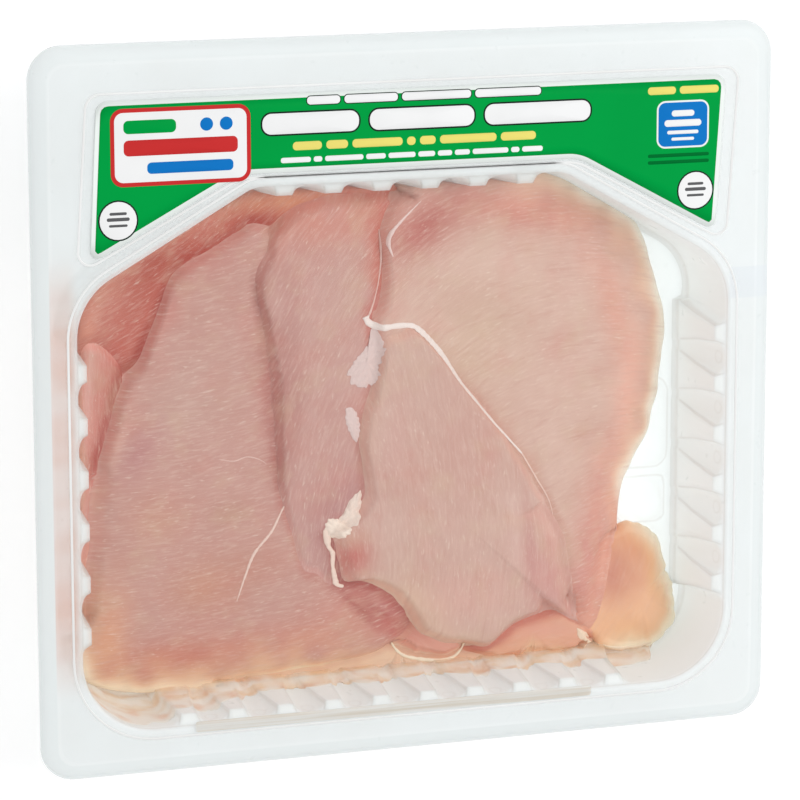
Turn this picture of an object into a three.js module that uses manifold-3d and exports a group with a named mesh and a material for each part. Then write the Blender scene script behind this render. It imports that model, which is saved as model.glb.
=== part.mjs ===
import * as THREE from 'three';
import { mergeVertices } from 'three/addons/utils/BufferGeometryUtils.js';
import Module from 'manifold-3d';

// Shut retail pack of raw thin-sliced chicken breast, lying film side up.
// X runs across the pack, +Y points to the printed label, +Z is up.
// Origin: centre of the outer footprint, on the plane the tray stands on.

// tray, outside
const TRAY_W = 250.2;
const TRAY_H = 236.0;
const TRAY_CORNER_R = 11;
const FLANGE_Z = 33.4;
const SHEET = 0.9;

// rolled rim: a quarter ellipse over the flange's edge, then a short skirt
const RIM_RUN = 6;
const RIM_DROP = 3;
const RIM_SKIRT = 0.6;
const RIM_STEPS = 3;
const RIM_ARC_STEPS = 6;

// slow bow of the thin sheet's sides: size, and the turn of its wave per mm
const BOW = 0.2;
const BOW_OVER_Y = { rate: 0.03, start: 0.4 };
const BOW_OVER_X = { rate: 0.027, start: 1.1 };

// mouth of the cavity: polygon corner and its radius
const MOUTH = [
  { at: [-111.1, -103.0], r: 24 },
  { at: [109.9, -103.0], r: 24 },
  { at: [109.9, 37.8], r: 22 },
  { at: [51.7, 71.0], r: 12 },
  { at: [-52.9, 71.0], r: 12 },
  { at: [-111.1, 37.8], r: 22 },
];
const MOUTH_ARC_STEPS = 5;

// upright ribs along four of the six sides: centres along the side
const BOTTOM_RIBS = { count: 10, middle: -2.4, pitch: 16.35 };
const RIGHT_RIBS = { count: 6, middle: -28.6, pitch: 17.1 };
const TOP_RIBS = { count: 6, middle: -1.55, pitch: 16.3 };
const LEFT_RIBS = { count: 6, middle: -28.6, pitch: 17.1 };
const RIB_FLANK = 3.4;
const RIB_SHOULDER = 0.3;

// wall levels: depth below the flange top, how far in the ribs, the pockets
// and the plain corners stand, and half the width of a rib's face
const WALL = [
  { depth: 0, rib: -1.2, pocket: -1.2, plain: -1.2, half: 3.8 },
  { depth: 1.2, rib: 0, pocket: 0, plain: 0, half: 3.8 },
  { depth: 4.2, rib: 3.4, pocket: 0.4, plain: 0.1, half: 2.6 },
  { depth: 18, rib: 4.0, pocket: 2.3, plain: 0.5, half: 4.4 },
  { depth: 30.4, rib: 4.5, pocket: 4.1, plain: 0.9, half: 6.6 },
  { depth: 32.5, rib: 6.5, pocket: 6.2, plain: 2.9, half: 6.8 },
];
const CAVITY_CENTRE = [-0.6, -16];

// lid film and the two printed strips on it
const FILM_T = 0.3;
const FILM_INSET = 6.2;
const FILM_CORNER_R = 6;
const PRINT_T = 0.3;
const LABEL = [
  { at: [-106.9, 49.4], r: 2.4 },
  { at: [-57.9, 75.5], r: 14 },
  { at: [56.3, 75.5], r: 14 },
  { at: [104.6, 49.1], r: 2.4 },
  { at: [107.9, 100.8], r: 4 },
  { at: [-104.1, 100.4], r: 4 },
];
const LABEL_ARC_STEPS = 4;
const STRIP_X = [-74.5, 62];
const STRIP_Y = [-105.2, -101.8];
const STRIP_CORNER_R = 0.8;

// room for the meat inside the cavity, in from the mouth
const ROOM_RIBBED = 5.2;
const ROOM_PLAIN = 1.8;
const ROOM_FOOT = 3.0;
const ROOM_LOW_Z = 1.3;
const ROOM_FOOT_Z = 3.6;
const ROOM_TOP_Z = 33.1;

// meat slices
const SLICE_POINTS = 30;
const SLICE_RINGS = [0.5, 0.8];
const SLICE_ROUND = 3;
const SLICE_EDGE_DROP = 2;
const SLICE_FOOT_IN = 3;
const SLICE_GAP = 0.35;
const CUT_BELOW = 2;

// finishes
const TRAY_LOOK = { color: 0xeef1f0, roughness: 0.35 };
const FILM_LOOK = { color: 0xf6f8f8, roughness: 0.15 };
const LABEL_LOOK = { color: 0x0aa14a, roughness: 0.4 };
const STRIP_LOOK = { color: 0xe6dccb, roughness: 0.4 };
const MEAT_ROUGHNESS = 0.45;

// Each slice: middle point, then points round its top edge, counterclockwise.
const SLICES = [
  {
    name: 'slice_base',
    colour: 0xe9b98a,
    middle: [4, -90, 6.4],
    edge: [
      [-60, -97.6, 5.5], [-45, -98, 6], [-24, -98, 6], [4, -98, 6], [29, -98, 6], [54, -98, 6], [67, -97.4, 5.5],
      [68, -90, 6], [54, -84, 6], [29, -82, 6], [4, -81, 6], [-24, -82, 6], [-45, -84, 6], [-60, -88, 5.5],
    ],
  },
  {
    name: 'slice_corner',
    colour: 0xe3a98a,
    middle: [90, -78, 9],
    edge: [
      [81, -57, 5], [76, -66, 5.5], [73, -78, 5.5], [74, -88, 6], [75, -94, 7], [82, -98, 6.5], [93, -99, 5.5],
      [101, -96, 5], [104, -88, 5], [102, -76, 5], [99, -64, 5], [95, -58, 5], [89, -54, 5], [85, -55, 5],
    ],
  },
  {
    name: 'slice_back_left',
    colour: 0xd28d7c,
    middle: [-60, 45, 13.5],
    edge: [
      [0, 67, 15.5], [-16, 67, 16], [-33, 67, 16.5], [-50, 66.5, 16.5], [-65, 60, 17], [-83, 51, 17],
      [-96, 43, 17], [-104, 35, 17], [-107, 26, 17], [-105, 10, 14], [-102, 0, 12.5], [-90, 5, 12],
      [-70, 24, 12], [-40, 37, 12], [0, 50, 13],
    ],
  },
  {
    name: 'strip_left',
    colour: 0xd69a88,
    middle: [-98, -20, 13.5],
    edge: [
      [-101, 22, 17], [-106, 20, 17], [-107, 0, 16.5], [-107, -30, 15], [-107, -58, 12.5], [-104, -70, 10.5],
      [-98, -62, 10.5], [-92, -40, 11.5], [-88, -15, 12.5], [-89, 5, 13], [-94, 16, 14.5],
    ],
  },
  {
    name: 'slice_under',
    colour: 0xe6bc9c,
    middle: [7, -81, 12],
    edge: [
      [0, -68, 11.5], [-12, -71, 11], [-16, -80, 9], [-6, -88, 9], [1, -90, 10.5], [8, -93, 10.5], [17, -95, 10.5],
      [23, -95, 10.5], [27, -91, 10.5], [27, -82, 11], [20, -72, 11.5], [10, -69, 11.5],
    ],
  },
  {
    name: 'piece_front',
    colour: 0xe2ab84,
    middle: [50, -91, 10.5],
    edge: [
      [28, -89, 9.5], [26, -94, 9], [39, -98, 9], [53, -98, 8.8], [66, -97.5, 9], [71, -95, 9], [71, -92, 9.2],
      [64, -86, 9.5], [52, -83, 9.5], [38, -84, 9.5],
    ],
  },
  {
    name: 'slice_left',
    colour: 0xcb9f92,
    middle: [-65, -30, 18.5],
    edge: [
      [-46, 57, 17], [-53, 55, 17], [-63, 50, 17], [-75, 43, 17], [-80, 31, 17], [-86, 17, 17], [-92, 9, 17],
      [-96, 0, 17], [-98, -11, 17], [-101, -21, 17], [-103, -30, 17], [-101, -47, 16.4], [-100, -58, 15.4],
      [-103, -68, 14.2], [-107, -78, 13], [-107, -87, 12], [-102, -94, 11], [-89, -97, 10], [-68, -99, 9],
      [-60, -99, 9], [-46, -97, 10], [-22, -95, 11], [-7, -93, 12], [1, -89, 13], [8, -78, 13], [0, -55, 13.5],
      [-14, -30, 14], [-24, 0, 14], [-27, 25, 14], [-28, 48, 15],
    ],
  },
  {
    name: 'slice_middle',
    colour: 0xcfa395,
    middle: [-22, 5, 21.5],
    edge: [
      [-2, 66.5, 19], [-10, 66, 19], [-20, 65.5, 19.5], [-30, 64, 19.5], [-37, 61, 19.5], [-43, 56, 20],
      [-45, 49, 20], [-49, 39, 20.5], [-47, 26, 20.5], [-44, 0, 20.5], [-42, -27, 20], [-40, -37, 19.5],
      [-37, -48, 18.5], [-33, -60, 17.5], [-28, -62, 17], [-23, -66, 16.5], [-12, -62, 15.5], [-4, -50, 16.5],
      [2, -30, 18], [6, 0, 18], [10, 30, 18], [12, 55, 18],
    ],
  },
  {
    name: 'slice_right',
    colour: 0xdcb5a8,
    middle: [42, -5, 19.5],
    edge: [
      [14, 67, 20], [1, 66, 22.5], [-4, 62, 23.5], [-8, 52, 24], [-7, 41, 24], [-9, 29, 24], [-11, 25, 24],
      [-8, 5, 22], [-2, -15, 21], [6, -32, 20], [16, -50, 17.5], [28, -64, 15], [44, -74, 12.5], [58, -80, 11.5],
      [66, -86, 11.5], [72, -90, 12], [76, -80, 10.5], [79, -66, 9.5], [80, -56, 8.5], [82, -47, 6.5],
      [87, -38, 5.5], [91, -28, 5], [95, -13, 5], [99, -1, 5], [100, 15, 5], [99, 23, 5.5], [94, 35, 6.5],
      [88, 48, 9], [83, 53, 11], [69, 60, 13], [50, 67, 16], [35, 67, 18],
    ],
  },
  {
    name: 'slice_front',
    colour: 0xd8afa2,
    middle: [20, -45, 24],
    edge: [
      [3, 22, 25.5], [-2, 20.5, 25.5], [-7, 19, 25], [-9, 10, 25], [-11, 4, 24.8], [-15, -11, 24.3],
      [-14, -25, 23.6], [-13, -32, 23], [-14, -36, 22.6], [-19, -43, 22], [-25, -46, 21.5], [-24, -49, 21.5],
      [-22, -56, 21.2], [-19, -64, 20.5], [-12, -65, 20.5], [-1, -72, 19], [7, -83, 18], [16, -89, 17],
      [23, -91, 16.5], [32, -93, 16], [37, -91, 16], [45, -85, 16], [57, -82, 15], [64, -86, 14.2],
      [69, -88, 14.2], [65, -77, 15.5], [59, -63, 18], [53, -46, 20], [51, -38, 21], [45, -28, 22],
      [38, -18, 23], [34, -12, 23.5], [22, 2, 24.5], [9, 17, 25.5],
    ],
  },
];

// Closed surface walked from one end point over a row of loops to the other
// end point. Loops run counterclockwise seen from above; two neighbouring
// loops of different length are joined along their shortest diagonals.
function walkedSurface(first, loops, last) {
  const points = [];
  const faces = [];
  const put = (p) => points.push(p[0], p[1], p[2]) / 3 - 1;
  const at = (i) => new THREE.Vector3(points[3 * i], points[3 * i + 1], points[3 * i + 2]);
  const start = put(first);
  const rows = loops.map((loop) => loop.map(put));
  const end = put(last);
  const opening = rows[0];
  opening.forEach((p, i) => faces.push(start, p, opening[(i + 1) % opening.length]));
  for (let k = 0; k + 1 < rows.length; k += 1) {
    const a = rows[k];
    const b = rows[k + 1];
    let i = 0;
    let j = 0;
    while (i < a.length || j < b.length) {
      const a0 = a[i % a.length];
      const b0 = b[j % b.length];
      const a1 = a[(i + 1) % a.length];
      const b1 = b[(j + 1) % b.length];
      const paired = a.length === b.length;
      const stepB = paired ? j <= i : at(a0).distanceTo(at(b1)) < at(a1).distanceTo(at(b0));
      if (j < b.length && (stepB || i >= a.length)) {
        faces.push(a0, b0, b1);
        j += 1;
      } else {
        faces.push(a0, b0, a1);
        i += 1;
      }
    }
  }
  const closing = rows[rows.length - 1];
  closing.forEach((p, i) => faces.push(p, end, closing[(i + 1) % closing.length]));
  const geometry = new THREE.BufferGeometry();
  geometry.setAttribute('position', new THREE.Float32BufferAttribute(points, 3));
  geometry.setIndex(faces);
  geometry.computeVertexNormals();
  return geometry;
}

// Sides of a counterclockwise polygon: start, direction and inward normal.
function sidesOf(corners) {
  return corners.map((corner, i) => {
    const next = corners[(i + 1) % corners.length];
    const from = new THREE.Vector2(...corner.at);
    const along = new THREE.Vector2(...next.at).sub(from);
    const length = along.length();
    along.normalize();
    return { from, along, length, inward: new THREE.Vector2(-along.y, along.x) };
  });
}

// Points on the arc that rounds corner i, with the inward normal of each.
function cornerArc(corners, sides, i, steps) {
  const before = sides[(i + corners.length - 1) % corners.length];
  const after = sides[i];
  const turn = Math.atan2(before.along.cross(after.along), before.along.dot(after.along));
  const r = corners[i].r;
  const cut = r * Math.tan(Math.abs(turn) / 2);
  const entry = new THREE.Vector2(...corners[i].at).addScaledVector(before.along, -cut);
  const hollow = turn < 0 ? -1 : 1;
  const centre = entry.clone().addScaledVector(before.inward, hollow * r);
  const arc = [];
  for (let k = 0; k <= steps; k += 1) {
    const angle = (turn * k) / steps;
    const inward = before.inward.clone().rotateAround(new THREE.Vector2(0, 0), angle);
    const point = centre.clone().addScaledVector(inward, -hollow * r);
    arc.push({ point, inward });
  }
  return arc;
}

// Rounded polygon as a flat loop of [x, y] pairs.
function roundedLoop(corners, steps) {
  const sides = sidesOf(corners);
  return corners.flatMap((corner, i) => cornerArc(corners, sides, i, steps).map((s) => [s.point.x, s.point.y]));
}

// Rectangle with rounded corners, drawn in from the tray's outer edge.
function rectangleLoop(halfW, halfH, r, steps) {
  const corners = [[-halfW, -halfH], [halfW, -halfH], [halfW, halfH], [-halfW, halfH]];
  return roundedLoop(corners.map((at) => ({ at, r })), steps);
}

const lift = (loop, z) => loop.map(([x, y]) => [x, y, z]);

// Marks round the mouth. A mark on a ribbed side belongs to a rib and says how
// far it stands from the rib's edge towards the middle of the next pocket.
function mouthMarks() {
  const sides = sidesOf(MOUTH);
  const ribRows = [BOTTOM_RIBS, RIGHT_RIBS, null, TOP_RIBS, null, LEFT_RIBS];
  const marks = [];
  MOUTH.forEach((corner, i) => {
    const side = sides[i];
    cornerArc(MOUTH, sides, i, MOUTH_ARC_STEPS).forEach((s) => marks.push({ ...s, kind: 'plain' }));
    const row = ribRows[i];
    if (!row) return;
    const axis = Math.abs(side.along.x) > 0.5 ? 'x' : 'y';
    const sense = side.along[axis];
    for (let k = 0; k < row.count; k += 1) {
      const coordinate = row.middle + sense * row.pitch * (k - (row.count - 1) / 2);
      const centre = sense * (coordinate - side.from[axis]);
      const base = { side, centre, pitch: row.pitch };
      const firstRib = k === 0;
      const lastRib = k === row.count - 1;
      if (firstRib) marks.push({ ...base, kind: 'flank', sign: -1, share: 1 });
      marks.push({ ...base, kind: firstRib ? 'flank' : 'pocket', sign: -1, share: RIB_SHOULDER });
      marks.push({ ...base, kind: 'pocket', sign: -1, share: 0 });
      marks.push({ ...base, kind: 'pocket', sign: 1, share: 0 });
      marks.push({ ...base, kind: lastRib ? 'flank' : 'pocket', sign: 1, share: RIB_SHOULDER });
      marks.push({ ...base, kind: lastRib ? 'flank' : 'pocket', sign: 1, share: 1 });
    }
  });
  return marks;
}

// One level of the cavity wall as a loop.
function wallLoop(marks, level) {
  const z = FLANGE_Z - level.depth;
  return marks.map((mark) => {
    if (mark.kind === 'plain') {
      const p = mark.point.clone().addScaledVector(mark.inward, level.plain);
      return [p.x, p.y, z];
    }
    const flank = mark.kind === 'flank';
    const reach = flank ? RIB_FLANK : mark.pitch / 2 - level.half;
    const low = flank ? level.plain : level.pocket;
    const rise = Math.sqrt(1 - (1 - mark.share) ** 2);
    const inset = level.rib - (level.rib - low) * rise;
    const along = mark.centre + mark.sign * (level.half + reach * mark.share);
    const p = mark.side.from.clone().addScaledVector(mark.side.along, along);
    p.addScaledVector(mark.side.inward, inset);
    return [p.x, p.y, z];
  });
}

// Rim section as [distance in from the outer edge, drop below the flange top],
// over the top, round the hem and back along the underside.
function rimProfile() {
  const turns = Array.from({ length: RIM_STEPS + 1 }, (_, k) => (Math.PI / 2) * (k / RIM_STEPS));
  const over = turns.map((t) => [RIM_RUN * (1 - Math.sin(t)), RIM_DROP * (1 - Math.cos(t))]);
  const under = turns.map((t) => [
    RIM_RUN - (RIM_RUN - SHEET) * Math.sin(t),
    RIM_DROP - (RIM_DROP - SHEET) * Math.cos(t),
  ]);
  const hem = RIM_DROP + RIM_SKIRT;
  return [...over, [0, hem], [SHEET, hem], ...under.reverse()];
}

// The tray's sides bow a little, as thin formed sheet does.
function bowed(geometry) {
  const place = geometry.attributes.position;
  for (let i = 0; i < place.count; i += 1) {
    const x = place.getX(i);
    const y = place.getY(i);
    const sideways = BOW * Math.sin(y * BOW_OVER_Y.rate + BOW_OVER_Y.start);
    const lengthways = BOW * Math.sin(x * BOW_OVER_X.rate + BOW_OVER_X.start);
    place.setXY(i, x + sideways, y + lengthways);
  }
  geometry.computeVertexNormals();
  return geometry;
}

function trayGeometry() {
  const marks = mouthMarks();
  const inner = WALL.map((level) => wallLoop(marks, level)).reverse();
  const back = WALL.map((level) => wallLoop(marks, {
    depth: level.depth + SHEET,
    rib: level.rib - SHEET,
    pocket: level.pocket - SHEET,
    plain: level.plain - SHEET,
    half: level.half,
  }));
  const rim = rimProfile().map(([inset, drop]) => {
    const r = TRAY_CORNER_R - inset;
    const loop = rectangleLoop(TRAY_W / 2 - inset, TRAY_H / 2 - inset, r, RIM_ARC_STEPS);
    return lift(loop, FLANGE_Z - drop);
  });
  const floorZ = FLANGE_Z - WALL[WALL.length - 1].depth;
  return bowed(walkedSurface([...CAVITY_CENTRE, floorZ], [...inner, ...rim, ...back], [...CAVITY_CENTRE, 0]));
}

// Flat sheet between two heights with the given outline.
function sheetGeometry(loop, middle, low, high) {
  return walkedSurface([...middle, high], [lift(loop, high), lift(loop, low)], [...middle, low]);
}

// Sheet whose outline bends inwards, filled by triangles over its own points.
function bentSheetGeometry(loop, low, high) {
  const contour = loop.map(([x, y]) => new THREE.Vector2(x, y));
  const caps = THREE.ShapeUtils.triangulateShape(contour, []);
  const n = loop.length;
  const points = [...lift(loop, high), ...lift(loop, low)].flat();
  const faces = [];
  caps.forEach(([a, b, c]) => faces.push(a, b, c, n + a, n + c, n + b));
  for (let i = 0; i < n; i += 1) {
    const j = (i + 1) % n;
    faces.push(i, n + i, n + j, i, n + j, j);
  }
  const geometry = new THREE.BufferGeometry();
  geometry.setAttribute('position', new THREE.Float32BufferAttribute(points, 3));
  geometry.setIndex(faces);
  geometry.computeVertexNormals();
  return geometry;
}

// Space the meat can fill: the mouth moved in, narrower again at its foot.
function roomGeometry() {
  const insets = [ROOM_RIBBED, ROOM_RIBBED, ROOM_PLAIN, ROOM_RIBBED, ROOM_PLAIN, ROOM_RIBBED];
  const sides = sidesOf(MOUTH);
  const loopAt = (extra) => {
    const corners = MOUTH.map((corner, i) => {
      const k = (i + MOUTH.length - 1) % MOUTH.length;
      const before = sides[k];
      const after = sides[i];
      const p = before.from.clone().addScaledVector(before.inward, insets[k] + extra);
      const q = after.from.clone().addScaledVector(after.inward, insets[i] + extra);
      const t = q.clone().sub(p).cross(after.along) / before.along.cross(after.along);
      const meet = p.addScaledVector(before.along, t);
      return { at: [meet.x, meet.y], r: corner.r - Math.min(insets[k], insets[i]) - extra };
    });
    return roundedLoop(corners, MOUTH_ARC_STEPS);
  };
  const loops = [
    lift(loopAt(0), ROOM_TOP_Z),
    lift(loopAt(0), ROOM_FOOT_Z),
    lift(loopAt(ROOM_FOOT), ROOM_LOW_Z),
  ];
  return walkedSurface([...CAVITY_CENTRE, ROOM_TOP_Z], loops, [...CAVITY_CENTRE, ROOM_LOW_Z]);
}

// A slice: a low dome over its edge curve, rounded at the edge and carried
// down to the tray floor. With room added it is the cutter for slices above.
function sliceGeometry(slice, room) {
  const [cx, cy, cz] = slice.middle;
  const curve = new THREE.CatmullRomCurve3(
    slice.edge.map((p) => new THREE.Vector3(...p)), true, 'centripetal',
  );
  const edge = curve.getSpacedPoints(SLICE_POINTS).slice(0, SLICE_POINTS);
  const spokes = edge.map((p) => {
    const out = new THREE.Vector2(p.x - cx, p.y - cy);
    return { length: out.length() + room, way: out.normalize(), z: p.z + room };
  });
  const ring = (reach, height) => spokes.map((s) => {
    const r = reach(s);
    return [cx + s.way.x * r, cy + s.way.y * r, height(s)];
  });
  const topZ = cz + room;
  const domes = SLICE_RINGS.map((share) => ring(
    (s) => (s.length - SLICE_ROUND) * share,
    (s) => topZ + (s.z - topZ) * share ** 2,
  ));
  const floorZ = room > 0 ? ROOM_LOW_Z - CUT_BELOW : ROOM_LOW_Z;
  const footIn = room > 0 ? 0 : SLICE_FOOT_IN;
  const loops = [
    ...domes,
    ring((s) => s.length - SLICE_ROUND, (s) => s.z),
    ring((s) => s.length, (s) => s.z - SLICE_EDGE_DROP),
    ring((s) => s.length - footIn, () => floorZ),
  ];
  return walkedSurface([cx, cy, topZ], loops, [cx, cy, floorZ]);
}

const wasm = await Module();
wasm.setup();

function toSolid(geometry) {
  const bare = geometry.clone();
  bare.deleteAttribute('normal');
  const merged = mergeVertices(bare);
  return new wasm.Manifold(new wasm.Mesh({
    numProp: 3,
    vertProperties: new Float32Array(merged.attributes.position.array),
    triVerts: new Uint32Array(merged.index.array),
  }));
}

function fromSolid(solid) {
  const mesh = solid.getMesh();
  const geometry = new THREE.BufferGeometry();
  geometry.setAttribute('position', new THREE.BufferAttribute(new Float32Array(mesh.vertProperties), 3));
  geometry.setIndex(new THREE.BufferAttribute(new Uint32Array(mesh.triVerts), 1));
  geometry.computeVertexNormals();
  return geometry;
}

const group = new THREE.Group();
group.name = 'chicken_breast_pack';

function addMesh(name, geometry, look) {
  const material = new THREE.MeshStandardMaterial({ ...look, flatShading: true });
  const mesh = new THREE.Mesh(geometry, material);
  mesh.name = name;
  group.add(mesh);
}

addMesh('tray', trayGeometry(), TRAY_LOOK);

const filmLoop = rectangleLoop(TRAY_W / 2 - FILM_INSET, TRAY_H / 2 - FILM_INSET, FILM_CORNER_R, RIM_ARC_STEPS);
const filmTop = FLANGE_Z + FILM_T;
addMesh('lid_film', sheetGeometry(filmLoop, [0, 0], FLANGE_Z, filmTop), FILM_LOOK);

const labelLoop = roundedLoop(LABEL, LABEL_ARC_STEPS);
addMesh('label', bentSheetGeometry(labelLoop, filmTop, filmTop + PRINT_T), LABEL_LOOK);

const stripCorners = [
  [STRIP_X[0], STRIP_Y[0]], [STRIP_X[1], STRIP_Y[0]], [STRIP_X[1], STRIP_Y[1]], [STRIP_X[0], STRIP_Y[1]],
].map((at) => ({ at, r: STRIP_CORNER_R }));
const stripMiddle = [(STRIP_X[0] + STRIP_X[1]) / 2, (STRIP_Y[0] + STRIP_Y[1]) / 2];
const stripLoop = roundedLoop(stripCorners, LABEL_ARC_STEPS);
addMesh('wrap_strip', sheetGeometry(stripLoop, stripMiddle, filmTop, filmTop + PRINT_T), STRIP_LOOK);

// The slices lie in a stack, lowest first; each is cut to rest on those below.
const room = toSolid(roomGeometry());
const cutters = [];
SLICES.forEach((slice) => {
  let solid = toSolid(sliceGeometry(slice, 0)).intersect(room);
  cutters.forEach((cutter) => {
    solid = solid.subtract(cutter);
  });
  addMesh(slice.name, fromSolid(solid), { color: slice.colour, roughness: MEAT_ROUGHNESS });
  cutters.push(toSolid(sliceGeometry(slice, SLICE_GAP)));
});

export default group;
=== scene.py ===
import bpy
import numpy as np
from mathutils import Matrix, Vector


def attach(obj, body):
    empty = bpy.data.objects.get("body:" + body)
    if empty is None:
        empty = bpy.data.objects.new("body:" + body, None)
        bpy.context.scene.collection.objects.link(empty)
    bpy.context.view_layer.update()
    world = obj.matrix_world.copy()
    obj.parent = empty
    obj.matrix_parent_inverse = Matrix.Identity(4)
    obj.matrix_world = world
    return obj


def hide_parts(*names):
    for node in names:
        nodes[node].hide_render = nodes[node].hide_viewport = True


# Shut tray pack of raw thin-sliced chicken breast, seen from above and a little to its left.
# All shapes are worked out in millimetres and put into the meshes in metres.

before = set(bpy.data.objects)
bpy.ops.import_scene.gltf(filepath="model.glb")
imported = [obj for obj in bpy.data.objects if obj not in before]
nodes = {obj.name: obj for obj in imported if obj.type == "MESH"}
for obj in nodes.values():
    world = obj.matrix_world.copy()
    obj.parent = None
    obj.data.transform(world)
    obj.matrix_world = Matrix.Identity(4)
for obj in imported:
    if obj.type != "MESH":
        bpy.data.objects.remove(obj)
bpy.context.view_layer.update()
print("frame loaded:", len(nodes), "nodes")

scene = bpy.context.scene
millimetre = 0.001
fullTurn = 2 * np.pi


# linear colour from the 0 to 255 numbers of a colour picker
def tone(red, green, blue):
    share = np.array([red, green, blue]) / 255
    low = share / 12.92
    high = ((share + 0.055) / 1.055) ** 2.4
    return np.where(share <= 0.04045, low, high)


def rgba(colour):
    return (*map(float, colour), 1.0)


# eased step: 0 below low, 1 above high, 3t^2 - 2t^3 between
def easedStep(low, high, value):
    t = np.clip((value - low) / (high - low), 0, 1)
    return t * t * (3 - 2 * t)


# sum of six plane waves of about one wavelength in seeded directions, mostly within -1 to 1
def ripple(x, y, seed, wavelength):
    draw = np.random.default_rng(seed)
    heading = draw.uniform(0, fullTurn, 6)
    stretch = draw.uniform(0.7, 1.4, 6) * fullTurn / wavelength
    phase = draw.uniform(0, fullTurn, 6)
    along = x[..., None] * np.cos(heading) + y[..., None] * np.sin(heading)
    return np.sin(along * stretch + phase).sum(axis=-1) / 3.5


# uniform Catmull-Rom at share f of the way from start to end
def curveBetween(before, start, end, after, f):
    c = 2 * before - 5 * start + 4 * end - after
    d = 3 * start - before - 3 * end + after
    return 0.5 * (2 * start + (end - before) * f + c * f ** 2 + d * f ** 3)


# points of a line at the given shares of its length
def pointsAlong(line, shares):
    run = np.concatenate([[0], np.cumsum(np.linalg.norm(np.diff(line, axis=0), axis=1))])
    return np.stack([np.interp(shares * run[-1], run, line[:, k]) for k in range(line.shape[1])], axis=1)


# closed curve through the points, sampled at equal steps of its parameter
def closedCurve(points, count):
    points = np.asarray(points, float)
    t = np.arange(count) * len(points) / count
    i = t.astype(int)
    return curveBetween(*(points[(i + k) % len(points)] for k in (-1, 0, 1, 2)), (t - i)[:, None])


# open curve through the points, the end points doubled, at equal steps of its length
def openCurve(points, count):
    points = np.asarray(points, float)
    padded = np.vstack([points[:1], points, points[-1:]])
    t = np.linspace(0, len(points) - 1 - 1e-9, 20 * len(points))
    i = t.astype(int)
    fine = curveBetween(*(padded[i + k] for k in (0, 1, 2, 3)), (t - i)[:, None])
    return pointsAlong(fine, np.linspace(0, 1, count))


def unit(vectors):
    return vectors / np.linalg.norm(vectors, axis=-1, keepdims=True)


# flat vectors turned a quarter to the left
def leftOf(vectors):
    return np.stack([-vectors[..., 1], vectors[..., 0]], axis=-1)


def crossOf(a, b):
    return a[..., 0] * b[..., 1] - a[..., 1] * b[..., 0]


# angle and distance of flat points round a middle, and the points back from them
def roundMiddle(points, middle):
    away = points[..., :2] - np.asarray(middle)
    return np.arctan2(away[..., 1], away[..., 0]), np.hypot(away[..., 0], away[..., 1])


def fromMiddle(angle, distance, middle):
    return middle + np.stack([np.cos(angle) * distance, np.sin(angle) * distance], axis=-1)


# places along and across a direction through a middle
def placeAlong(x, y, middle, degrees):
    a = np.radians(degrees)
    dx, dy = x - middle[0], y - middle[1]
    return dx * np.cos(a) + dy * np.sin(a), dy * np.cos(a) - dx * np.sin(a)


# 1 within a half angle of a direction in degrees, eased to 0 between two shares of it
def facing(angle, middle, half, inner, outer):
    apart = np.abs((np.degrees(angle) - middle + 180) % 360 - 180)
    return 1 - easedStep(inner * half, outer * half, apart)


# value between four neighbours of a grid, linear in both directions
def between(grid, i, j, u, v):
    near = grid[i, j] * (1 - v) + grid[i, j + 1] * v
    far = grid[i + 1, j] * (1 - v) + grid[i + 1, j + 1] * v
    return near * (1 - u) + far * u


# faces of a surface of closed rows, capped by a pole at either end
def rowFaces(levels, around):
    index = np.arange(levels * around).reshape(levels, around)
    ahead = np.roll(index, -1, axis=1)
    quads = np.stack([index[:-1], index[1:], ahead[1:], ahead[:-1]], axis=-1).reshape(-1, 4)
    firstPole = levels * around
    lastPole = firstPole + 1
    opening = np.stack([np.full(around, firstPole), index[0], ahead[0]], axis=-1)
    closing = np.stack([index[-1], np.full(around, lastPole), ahead[-1]], axis=-1)
    return quads.tolist() + opening.tolist() + closing.tolist()


def addObject(name, data):
    thing = bpy.data.objects.new(name, data)
    scene.collection.objects.link(thing)
    return thing


# a mesh object in place, smooth, riding on the pack
def makePiece(name, points, faces, material, stands=()):
    mesh = bpy.data.meshes.new(name)
    mesh.from_pydata((np.asarray(points) * millimetre).tolist(), [], faces)
    mesh.polygons.foreach_set("use_smooth", np.ones(len(mesh.polygons), bool))
    mesh.materials.append(material)
    mesh.update()
    piece = addObject(name, mesh)
    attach(piece, "root")
    if stands:
        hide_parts(*stands)
    return piece


def addNumbers(piece, name, values):
    layer = piece.data.attributes.new(name, "FLOAT", "POINT")
    layer.data.foreach_set("value", np.asarray(values, np.float32))


# the tint of each point and, if given, its place on the fibres as a UV map
def addTint(piece, colours, uv=None):
    mesh = piece.data
    full = np.ones((len(mesh.vertices), 4), np.float32)
    full[:, :3] = colours
    mesh.attributes.new("tint", "FLOAT_COLOR", "POINT").data.foreach_set("color", full.ravel())
    if uv is None:
        return
    corners = np.zeros(len(mesh.loops), np.int32)
    mesh.loops.foreach_get("vertex_index", corners)
    layer = mesh.uv_layers.new(name="fibres")
    layer.data.foreach_set("uv", np.asarray(uv, np.float32)[corners].ravel())


def newMaterial(name):
    material = bpy.data.materials.new(name)
    material.use_nodes = True
    tree = material.node_tree
    return material, tree, tree.nodes["Principled BSDF"]


def addNode(tree, kind, **settings):
    node = tree.nodes.new(kind)
    for key, value in settings.items():
        setattr(node, key, value)
    return node


def setInputs(node, values):
    for name, value in values.items():
        node.inputs[name].default_value = value


def join(tree, fromSocket, toSocket):
    tree.links.new(fromSocket, toSocket)


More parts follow.
